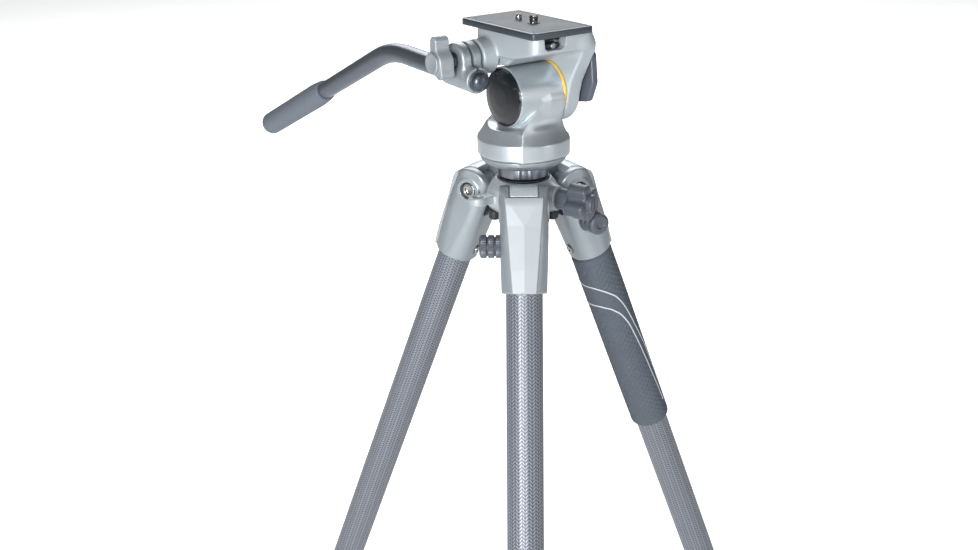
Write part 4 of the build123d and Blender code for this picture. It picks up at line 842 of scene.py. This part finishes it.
def piping(route, wide, high, steps=90):
    """A flat oval carried along a route on the foam: (angle, height) points are read evenly,
    the oval's wide axis lies along the foam and its short one points out."""
    length = np.concatenate([[0], np.cumsum(np.linalg.norm(np.diff(route * [0.283, 1.0], axis=0), axis=1))])
    even = np.linspace(0, length[-1], steps)
    smooth = np.hanning(9) / np.hanning(9).sum()
    padded = [np.pad(np.interp(even, length, route[:, k]), 4, mode="reflect", reflect_type="odd")
              for k in (0, 1)]
    angle, s = (np.convolve(p, smooth, mode="valid") for p in padded)
    a = np.radians(angle)
    out = np.stack([np.cos(a), np.sin(a), 0 * a], -1)
    path = out * FOAM_R + np.stack([0 * a, 0 * a, s], -1)
    direction = np.gradient(path, axis=0)
    direction /= np.linalg.norm(direction, axis=1)[:, None]
    across = np.cross(out, direction)
    t = np.linspace(0, 2 * np.pi, 10, endpoint=False)[None, :, None]
    ring = path[:, None] + wide * np.cos(t) * across[:, None] + high * np.sin(t) * out[:, None]
    ends = [np.broadcast_to(path[k], (1, 10, 3)) for k in (0, -1)]
    return lattice(np.concatenate([ends[0], ring, ends[1]])[:, ::-1])


for name, route in (("foam_line_high", LINE_HIGH), ("foam_line_low", LINE_LOW)):
    piece(name, piping(route, 0.55, 0.22), pale_line, "right_leg", leg_place(LEGS["right"]))

# %% [markdown]
# ## Canopy and column
# The canopy is the casting that the three legs hang from: a dome with a pocket and an ear for
# each leg, an eyelet for a strap and a boss for the column lock. It is one formula in a level
# frame, where each bearing has its own sideways and outward distance.

# %% Canopy
def inset(corners, depth):
    """An anticlockwise polygon drawn in: each corner moves by depth (n1 + n2) / (1 + n1.n2)."""
    p = np.array(corners, float)
    d = np.roll(p, -1, 0) - p
    n = np.stack([-d[:, 1], d[:, 0]], -1) / np.linalg.norm(d, axis=1)[:, None]
    m = np.roll(n, 1, 0)
    return p + depth * (n + m) / (1 + (n * m).sum(1))[:, None]


def soft_outline(u, v, corners, edge):
    """An outline drawn in and grown back, so that its corners are round."""
    return outline(u, v, inset(corners, edge), edge)


DOME = [(-9, -20), (17.0, -20), (20.4, -12), (25.3, -9.5), (27.8, -6), (27.8, 2), (26.2, 6.5), (23.0, 10),
        (20.1, 12.3), (-9, 12.3)]
EYELET_BEARING, KNOB_BEARING = -60.0, 60.0


def canopy_formula(x, y, z):
    """The turned dome, less a pocket at each leg, with the ears, eyelet and boss joined on."""
    r = far(x, y)
    metal = soft_outline(r, z, DOME, 1.4)
    ways = {}
    for b in (*LEGS.values(), EYELET_BEARING, KNOB_BEARING):
        c, d = math.cos(math.radians(b)), math.sin(math.radians(b))
        ways[b] = x * c + y * d, x * d - y * c
    for bearing in LEGS.values():
        u, w = ways[bearing]
        metal = cut(metal, both(np.abs(u) - 17.6, 20.4 - w, 1.5), 0.9)
    for bearing in LEGS.values():
        u, w = ways[bearing]
        ear = join(far(w - HINGE_RADIUS, z) - 8.6, oval(w - 27.0, z + 2.9, 11.0, 5.7, 1.0), 2.0)
        metal = join(metal, layered(ear, u, 10.0, 0.8), 1.2)
        metal = cut(metal, rod(w - HINGE_RADIUS, z, u, PIN_BORE, 14.0))
    u, w = ways[EYELET_BEARING]
    eyelet = join(far(u, w - 38.0) - 7.0, oval(u, w - 28.0, 5.8, 10.0, 1.0), 2.0)
    metal = join(metal, layered(eyelet, z, 2.8, 0.9), 2.0)
    metal = cut(metal, rod(u, w - 38.0, z, 3.6, 6.0), 0.8)
    u, w = ways[KNOB_BEARING]
    metal = join(metal, rod(u, z, w - 24.0, 9.2, 5.4, 0.9), 3.0)
    metal = cut(metal, rod(u, z, w - 24.0, 4.1, 14.0))
    return cut(metal, r - 14.5)


canopy = skin(canopy_formula, (-47.6, -47.6, -20.8), (47.6, 47.6, 13.0), 0.6)
piece("canopy_casting", canopy, platform_paint, "canopy", canopy_place, ["canopy"])

# %% Bush, top plate and column
FLANGE_TOP = hinge_height + 13.8
column_place = level_place(0.0, FLANGE_TOP)
bush_rows = [(11.6, -33.8), (14.4, -33.8), (14.4, -1.5), (19.3, -1.5), (19.3, 0.0), (11.6, 0.0)]
bush = turned(rounded(bush_rows, 0.5, closed=True), 96, True)
piece("bush_flange", bush, dark_plastic, "canopy", column_place, ["column_bush"])


def witness_notch(t, r, h):
    """A flat step 0.8 deep over a narrow span of the rim, at the front."""
    span = np.clip(1.5 - np.abs((t - math.radians(273)) * 18.0 / 2.6), 0, 0.5) * 2
    return np.where(r > 16.5, -0.8 * span, 0.0)


top_rows = [(0, -12), (9.8, -12), (9.8, 0.4), (17.6, 0.4), (18.2, 1.0), (18.2, 8.6), (0, 8.6)]
top_plate = turned(rounded(top_rows, 0.5), 240, wave=witness_notch)
piece("top_plate", top_plate, silver_metal, "column", column_place, ["column_top_plate"])
rail_tube = turned([(9.9, -318), (11.5, -318), (11.5, 0), (9.9, 0)], 72, True)
piece("centre_column", rail_tube, column_anodised, "column", column_place, ["column_tube"])


# %% Column lock knob
def lobed(u, v, mid, swing, lobes, start, squareness):
    """A round outline whose radius swings by `swing` about `mid`, with flat-topped lobes."""
    crest = np.cos(lobes * (np.arctan2(v, u) - start)) + 0.4
    wave = np.tanh(squareness * crest) / math.tanh(1.4 * squareness)
    return (far(u, v) - mid - swing * wave) * 0.8


def knob_formula(x, y, z):
    """Four lobes with wide hollows, a collar towards the canopy and a dished end button."""
    body = layered(lobed(x, y, 10.9, 3.1, 4, math.radians(20), 1.5), z - 46.9, 7.4, 1.9)
    body = join(body, rod(x, y, z - 35.4, 7.7, 5.0, 0.6), 0.5)
    body = join(body, rod(x, y, z - 55.6, 6.6, 2.4, 0.9), 0.4)
    body = cut(body, both(np.abs(x) - 0.7, 57.0 - z), 0.3)
    body = cut(body, far(far(x, y) - 5.2, z - 58.2) - 0.5, 0.3)
    return join(body, rod(x, y, z - 25.5, 4.0, 10.6))


knob = skin(knob_formula, (-14.6, -14.6, 14.4), (14.6, 14.6, 58.8), 0.42)
piece("column_lock_knob", knob, knob_plastic, "column_knob",
      outward_place(KNOB_BEARING, hinge_height), ["column_knob"])

# %% [markdown]
# ## Pan head
# The base is a turned bowl. The body above it is one casting: a turned drum, a cradle and a
# neck that carry the sideways barrel. Where the barrel rises out of the cradle the crease is
# wide at the back and sharp towards the glossy cap.

# %% Pan base and body
TOP_PLATE_TOP = hinge_height + 18.6
base_rows = rounded([(0, 3.9), (19.5, 3.9), (25.2, 4.8), (29.0, 6.8), (31.3, 9.4), (31.9, 12.2),
                     (12.2, 12.2), (12.0, 13.2), (12.0, 19.5), (0, 19.5)], 1.6)


def seams(t, r, h):
    """Two thin turned grooves: r less 0.35 exp(-(h - h0)^2 / 0.03), the upper one a little wider."""
    groove = np.exp(-(h - 5.2) ** 2 / 0.03) + np.exp(-(h - 10.2) ** 2 / 0.04)
    return np.where(r > 15, -0.35 * groove, 0.0)


shares = np.linspace(0, 1, 6, endpoint=False)[None, :, None]
between_rows = base_rows[:-1, None] + (base_rows[1:, None] - base_rows[:-1, None]) * shares
fine_rows = np.concatenate([between_rows.reshape(-1, 2), base_rows[-1:]])
base_frame = place_of((0, 0, TOP_PLATE_TOP), head_x, (0, 0, 1))
piece("pan_bowl", turned(fine_rows, 144, wave=seams), cast_paint, "column", base_frame,
      ["pan_base"])

DRUM = [(-9, 3.0), (32.4, 3.0), (33.3, 4.0), (33.3, 14.8), (25.0, 22.9), (-9, 22.9)]


def pan_body_formula(x, y, z):
    """The drum, with a saddle cut for the arm, joined to the neck and the barrel, and bored for
    the cartridge, the cap and the pivot. The neck's front recedes as it climbs the barrel."""
    h, along = z + TILT_RISE, x - 2.0
    metal = soft_outline(far(x, y), h, DRUM, 1.6)
    metal = cut(metal, both(far(along, z) - 24.0, 18.9 - y, 0.6), 0.6)
    lip = -17.5 + 17.0 * np.clip((z + 23.0) / 21.0, 0.0, 1.0) ** 1.3
    neck = both(both(both(np.abs(along) - 21.0, y - 18.2, 3.0), z + 1.0, 3.0), lip - y, 0.9)
    metal = join(metal, both(neck, -40.0 - z), 9.0)
    barrel = rod(along, z, y, 21.5, 18.5, 0.5)
    metal = join(metal, barrel, 0.4 + 5.0 * np.clip((y + 6.0) / 12.0, 0.0, 1.0))
    metal = cut(metal, both(rod(along, z, y - 26.0, 22.3, 7.4), -16.0 - z, 0.5), 0.3)
    metal = cut(metal, rod(along, z, y + 18.5, 19.45, 3.0))
    metal = cut(metal, rod(along, z, y - 1.0, 16.1, 18.6))
    u, w = (x * lock_side[0] + y * lock_side[1], x * lock_out[0] + y * lock_out[1])
    metal = cut(metal, rod(u, h - 6.55, w - 30.0, 3.1, 14.0))
    return cut(metal, rod(x, y, h - 5.0, 12.1, 5.5), 0.3)


LOCK_ANGLE = math.radians(135.0)
lock_out = (math.cos(LOCK_ANGLE), math.sin(LOCK_ANGLE))
lock_side = (-lock_out[1], lock_out[0])
pan_body = skin(pan_body_formula, (-34.0, -34.0, -46.0), (34.0, 34.0, 22.0), 0.62)
piece("pan_housing", pan_body, barrel_paint, "pan_head", head, ["pan_body"])

# %% Cap and ring on the barrel
tilt = place_of(shifted(head, x=2.0)[0], head_x, -head_y)
END_CAP_R, CAP_SEAT = 19.3, 15.5
cap_rows = rounded([(0, CAP_SEAT), (END_CAP_R, CAP_SEAT), (END_CAP_R, 18.55), (20.5, 18.6), (20.5, 19.2),
                    (19.6, 19.8), (14.0, 21.0), (7.0, 21.7), (0, 21.9)], 0.7)
piece("barrel_cap", turned(cap_rows, 144), cap_gloss, "pan_head", tilt, ["pan_end_cap"])
ring_rows = rounded([(17.5, -20.0), (22.0, -20.0), (22.0, -18.3), (17.5, -18.3)], 0.3, closed=True)
piece("yellow_ring", turned(ring_rows, 144, True), accent_yellow, "pan_head", tilt,
      ["accent_ring"])

# %% [markdown]
# ## Tilt platform
# The platform is a deck that follows the barrel's curve, an arm that wraps down the far side,
# and a boss with a stepped face where the handle clamps on. A channel along the top takes the
# plate's tongue, and the lens end has a notch for the catch.

# %% Tilt platform
DECK = [(-31, 30), (-20, 21), (2, 21), (18, 29.5), (42, 35.2), (43, 47), (-31, 47)]
ARM = [(-21, 0), (2, -4), (25, 4), (39, 30), (41, 40), (-22, 40)]
NOTCH = [(-6.2, 37.4), (6.2, 37.4), (8.4, 39.0), (9.6, 47.0), (-9.6, 47.0), (-8.4, 39.0)]
DECK_TOP = 46.0
ROSETTE_X, ROSETTE_Z, CATCH_Y = -12.0, 27.9, -4.3


def platform_formula(x, y, z):
    """Deck and arm joined, hollowed by the barrel's room, with the boss, channel and notch."""
    along = x - 2.0
    deck = soft_outline(x, z, DECK, 1.2)
    plan = oval(x - 6.0, y - 5.05, 36.0, 27.05, 9.0)
    shelf = both(plan + 2.4 * np.clip((29.5 - z) / 1.6, 0.0, 1.0) + 0.2 * np.maximum(0.0, 28.0 - z), 19.0 - z)
    deck = both(deck, both(plan, shelf), 2.0)
    arm_side = join(far(along, z) - 23.0, soft_outline(x, z, ARM, 3.0), 6.0)
    metal = join(deck, layered(arm_side, y - 26.1, 6.0, 1.6), 7.0)
    metal = both(metal, y - 32.1, 1.2)
    metal = cut(metal, both(far(along, z) - 22.4, y - 20.1, 0.8), 0.6)
    metal = join(metal, rod(x - ROSETTE_X, z - ROSETTE_Z, y + 27.0, 12.4, 6.2, 1.2), 2.5)
    metal = both(metal, z - DECK_TOP, 0.8)
    metal = cut(metal, rod(x - ROSETTE_X, z - ROSETTE_Z, y + 27.0, 3.6, 9.0))
    metal = cut(metal, both(both(np.abs(y) - 18.0, 42.0 - z), x - 34.0), 0.4)
    notch = both(outline(y - CATCH_Y, z, NOTCH), 30.5 - x, 0.8)
    return cut(metal, notch, 0.6)


platform = skin(platform_formula, (-31.4, -34.0, -24.0), (42.8, 33.0, 46.6), 0.62)
piece("tilt_deck", platform, platform_paint, "tilt_head", head, ["tilt_platform"])
catch_place, notch_shade_place, button_place = (
    place_of(shifted(head, x=x, y=CATCH_Y, z=z)[0], head_y, head_x)
    for x, z in ((34.4, 39.9), (30.2, 39.4), (38.4, 39.9)))
catch_rows = [(0.6, 0.0), (0.1, 0.15), (0, 0.6), (0, 3.4), (0.2, 3.9), (0.8, 4.2)]
catch = stacked(oblong(11.0, 3.4, 0.7), catch_rows)
piece("catch_bar", catch, dark_plastic, "plate_catch", catch_place, ["plate_catch"])
# A dark block at the back of the catch notch is painted shade. The notch is grey metal, and the block darkens
# it where its depth falls into shadow.
notch_shade_block = stacked(oblong(13.6, 4.6, 0.8), [(0.3, 0.0), (0, 0.2), (0, 0.7), (0.3, 1.0)])
piece("notch_lining", notch_shade_block, dark_plastic, "tilt_head", notch_shade_place)
button = turned(rounded([(0, 0), (2.3, 0), (2.3, 1.0), (1.6, 1.5), (0, 1.6)], 0.4), 40)
piece("catch_button", button, silver_metal, "plate_catch", button_place)


# %% Tilt lock lever and pan lock knob
LEVER = [(4.0, 10.2), (-22.0, 33.0), (-31.0, 29.0), (-33.5, 8.0), (-28.0, -6.0), (-4.0, -10.2)]


def lever_formula(x, y, z):
    """A hub with a cranked paddle, its rim rolled over and its face dished."""
    paddle = layered(soft_outline(x, y, LEVER, 4.5), z - 4.3, 2.7, 1.4)
    lever = join(rod(x, y, z - 3.5, 11.0, 3.5, 1.2), paddle, 2.0)
    lever = cut(lever, far(x + 25.0, y - 15.0, (z - 12.5) * 2.2) - 12.8, 1.0)
    return join(lever, rod(x, y, z + 1.5, 3.5, 1.6), 0.2)


lever = skin(lever_formula, (-38.0, -12.0, -3.2), (12.0, 35.0, 7.6), 0.55)
lever_place = place_of(shifted(head, x=2.0, y=32.5)[0], -head_x, head_y)
piece("lever_arm", lever, knob_plastic, "tilt_lock", lever_place, ["tilt_lock_lever"])


def pan_lock_formula(x, y, z):
    """Three lobes on a short collar."""
    body = layered(lobed(x, y, 7.6, 1.2, 3, 0.0, 0.8), z - 41.8, 5.4, 1.5)
    body = join(body, rod(x, y, z - 36.0, 5.6, 2.2, 0.4), 0.6)
    return join(body, rod(x, y, z - 24.0, 3.0, 11.6))


pan_lock = skin(pan_lock_formula, (-9.6, -9.6, 12.0), (9.6, 9.6, 47.6), 0.5)
lock_place = outward_place(171.56, TOP_PLATE_TOP + 9.6 + 6.55)
piece("pan_lock_lobes", pan_lock, knob_plastic, "pan_lock", lock_place, ["pan_lock_knob"])

# %% [markdown]
# ## Quick-release plate
# A plate is an outline carried up through inset and height rows, so that its rims have real
# bevels. The camera screw's thread is a helix: the radius rises and falls as a triangle wave
# of height less angle, which closes once round.

# %% Plate, pad, camera screw and pin
plate_place = place_of(shifted(head, x=3.3, z=DECK_TOP)[0], head_x, head_z)
plate_rows = [(0.7, 0.2), (0.15, 0.35), (0.0, 0.7), (0.0, 3.0), (0.2, 3.1), (0.2, 3.3), (0.0, 3.4),
              (0.0, 4.0), (0.25, 4.5), (0.7, 4.8), (2.7, 4.8), (2.8, 4.6), (2.8, 4.05)]
plate = stacked(oblong(84.0, 51.6, 3.0), plate_rows)
piece("plate_body", plate, plate_metal, "quick_plate", plate_place, ["quick_plate"])
tongue = stacked(oblong(47.0, 35.4, 1.0), [(0.4, -3.6), (0, -3.3), (0, 0.3)])
piece("plate_tongue", tongue, plate_metal, "quick_plate", shifted(plate_place, x=-6.5))
pad = stacked(oblong(77.2, 44.8, 1.6), [(0.1, 4.1), (0.0, 4.3), (0.0, 4.78), (0.25, 4.92)])
piece("plate_pad_skin", pad, pad_rubber, "quick_plate", plate_place, ["plate_pad"])


def thread(t, r, h):
    """Twenty threads to the inch: 0.25 times a triangle wave of h / 1.27 - t / 2 pi."""
    turn = np.abs((h / 1.27 - t / (2 * np.pi)) % 1.0 - 0.5) * 2
    share = np.clip((h - 5.2) / 0.3, 0, 1) * np.clip((9.9 - h) / 0.3, 0, 1) * (r > 2.5) * (r < 3.2)
    return (0.5 * turn - 0.5) * share


screw_rows = [(0, -2.6), (7.4, -2.6), (8.0, -2.2), (8.0, -0.6), (7.4, -0.2), (2.9, -0.2), (2.9, 5.0)]
screw_rows += [(3.15, h) for h in np.linspace(5.1, 9.6, 50)] + [(2.5, 10.3), (0, 10.3)]
screw_place = place_of(shifted(head, x=12.0, z=DECK_TOP)[0], head_x, head_z)
piece("camera_screw_thread", turned(screw_rows, 48, wave=thread), chrome, "camera_screw", screw_place,
      ["camera_screw"])
washer = turned(rounded([(3.2, 4.95), (4.6, 4.95), (4.6, 5.35), (3.2, 5.35)], 0.2, closed=True), 64, True)
piece("screw_washer", washer, dark_plastic, "camera_screw", screw_place)
pin_rows = rounded([(0, 0.6), (2.0, 0.6), (2.0, 5.1), (2.2, 5.1), (2.2, 8.1), (1.3, 9.0), (0, 9.0)], 0.25)
piece("video_pin_stud", turned(pin_rows, 40), chrome, "video_pin",
      place_of(shifted(head, x=-5.0, z=DECK_TOP)[0], head_x, head_z), ["video_pin"])

# %% [markdown]
# ## Pan handle
# The clamp is a boss on the rosette with a sleeve for the tube and a slit between them. The
# wing knob's two paddles stand off a flat hub, covered with small dots in real relief.

# %% Handle clamp
SLOPE = math.atan2(4.2, 115.0)
HANDLE_Y, HANDLE_Z, HANDLE_FRONT = -42.8, 15.7, 8.0
SKIRT = [(-27.0, 15.7), (1.0, 15.7), (-1.0, 23.9), (-23.0, 25.9)]


def clamp_formula(x, y, z):
    """Boss, skirt and sleeve joined; bored for the bolt and the tube, and slit above the tube."""
    u, w, across = x - ROSETTE_X, z - ROSETTE_Z, y - HANDLE_Y
    along = -(x - HANDLE_FRONT) * math.cos(SLOPE) + (z - HANDLE_Z) * math.sin(SLOPE)
    over = (x - HANDLE_FRONT) * math.sin(SLOPE) + (z - HANDLE_Z) * math.cos(SLOPE)
    boss = rod(u, w, across, 12.0, 8.0, 2.0)
    skirt = layered(soft_outline(x, z, SKIRT, 1.0), across, 8.0, 2.0)
    metal = join(boss, skirt, 3.0)
    metal = join(metal, rod(over, across, along - 19.0, 9.2, 17.0, 0.9), 3.0)
    metal = cut(metal, rod(over, across, along - 19.0, 7.22, 30.0))
    metal = cut(metal, rod(u, w, across, 3.6, 12.0))
    metal = cut(metal, rod(u, w, across + 9.2, 7.6, 2.2), 0.4)
    slit = both(np.abs(across) - 1.1, HANDLE_Z - z)
    return cut(metal, slit, 0.4)


clamp = skin(clamp_formula, (-31.6, -53.0, 5.6), (7.4, -33.0, 41.0), 0.5)
piece("handle_socket", clamp, cast_paint, "handle", head, ["handle_clamp"])

# %% Wing knob
DOT_PITCH = 1.25


def dots(u, along):
    """A staggered field of small bumps: 0.11 cos a cos b where that is positive."""
    a, b = 2 * np.pi * u / DOT_PITCH, 2 * np.pi * along / (DOT_PITCH * 1.732)
    return 0.11 * np.maximum(np.cos(a) * np.cos(b), 0.0)


def wing_formula(x, y, z):
    """A hub with one paddle up and one down, dotted, and a dished end disc on a shaft."""
    up = far(np.maximum(np.abs(y - 9.0) - 5.0, 0), x + 1.2) - 3.8
    t = np.clip((5.0 * x - 7.0 * y) / 74.0, 0.0, 1.0)
    down = far(x - 5.0 * t, y + 7.0 * t) - 3.9
    flat = join(join(far(x, y) - 8.2, up, 3.0), down, 3.0)
    body = layered(flat, z - 61.0, 5.7, 1.2) - dots(y, z - 61.0)
    body = join(body, rod(x, y, z - 62.4, 7.4, 7.0, 0.7), 0.4)
    body = cut(body, far(x, y, z - 93.3) - 24.6, 0.3)
    return join(body, rod(x, y, z - 38.0, 3.5, 17.9))


stack_place = place_of(shifted(head, x=ROSETTE_X, z=ROSETTE_Z)[0], head_x, -head_y)
wing = skin(wing_formula, (-9.4, -16.2, 21.6), (9.4, 18.2, 70.0), 0.34)
piece("wing_paddles", wing, wing_metal, "wing_knob", stack_place, ["wing_knob"])

collar_rows = [(3.4, 51.6), (6.2, 51.6), (6.2, 54.0), (5.4, 55.2), (3.4, 55.2)]
collar = turned(rounded(collar_rows, 0.4, closed=True), 64, True)
piece("wing_washer", collar, dark_plastic, "wing_knob", stack_place)

# %% Tube, plug and rubber grip
GRIP_ANGLE, TUBE_R = math.radians(24.7), 7.2
BEND = np.array([HANDLE_FRONT - 115.0, HANDLE_Z + 4.2])
TAIL = BEND - 243.5 * np.array([math.cos(GRIP_ANGLE), math.sin(GRIP_ANGLE)])
BEND_REACH = 23.0


def handle_path():
    """Straight, then (1-t)^2 a + 2t(1-t) bend + t^2 b round the bend, then straight again."""
    start = np.array([HANDLE_FRONT, HANDLE_Z])
    back, on = start - BEND, TAIL - BEND
    a = BEND + back / np.linalg.norm(back) * BEND_REACH
    b = BEND + on / np.linalg.norm(on) * BEND_REACH
    t = np.linspace(0, 1, 25)[:, None]
    curve = (1 - t) ** 2 * a + 2 * t * (1 - t) * BEND + t ** 2 * b
    flat = np.concatenate([start[None], curve, TAIL[None]])
    return np.stack([flat[:, 0], np.full(len(flat), HANDLE_Y), flat[:, 1]], -1)


piece("bent_tube", swept(handle_path(), TUBE_R, (0.0, 1.0, 0.0), 72), tube_anodised, "handle", head,
      ["handle_tube"])
tube_dir = -math.cos(SLOPE) * head_x + math.sin(SLOPE) * head_z
tube_front = place_of(shifted(head, HANDLE_FRONT, HANDLE_Y, HANDLE_Z)[0], head_y, tube_dir)
plug_rows = rounded([(0, -5.2), (3.2, -4.7), (5.4, -3.5), (6.7, -1.7), (7.0, 0.0), (5.6, 0.1), (5.6, 5.0),
                     (0, 5.0)], 1.0)
piece("tube_plug", turned(plug_rows, 64), cap_dark, "handle", tube_front, ["handle_end_cap"])
tail_dir = -math.cos(GRIP_ANGLE) * head_x - math.sin(GRIP_ANGLE) * head_z
tail_place = place_of(shifted(head, TAIL[0], HANDLE_Y, TAIL[1])[0], head_y, tail_dir)
rubber_rows = rounded([(7.22, -120.0), (8.8, -120.0), (9.4, -114.0), (10.0, -104.0), (10.0, 2.0), (8.6, 5.0),
                       (5.4, 6.6), (0, 7.0)], 1.6)
rubber = turned(np.concatenate([[(0, -120.0)], rubber_rows]), 96)
piece("rubber_grip", rubber, grip_rubber, "handle", tail_place, ["handle_grip"])

# %% [markdown]
# ## What stays from the model
# Small plain parts keep the shape they were packed with and only get a finish.

# %% Finishes on carried-over parts
KEPT = {"canopy_bumpers": dark_plastic, "column_end_cap": knob_plastic, "weight_hook": chrome,
        "head_stud": chrome, "tilt_shaft": chrome, "drag_cartridge": dark_plastic}
for node, finish in KEPT.items():
    kept = bpy.data.objects[node]
    kept.data.materials.clear()
    kept.data.materials.append(finish)
    print(node, "keeps its shape, in", finish.name)
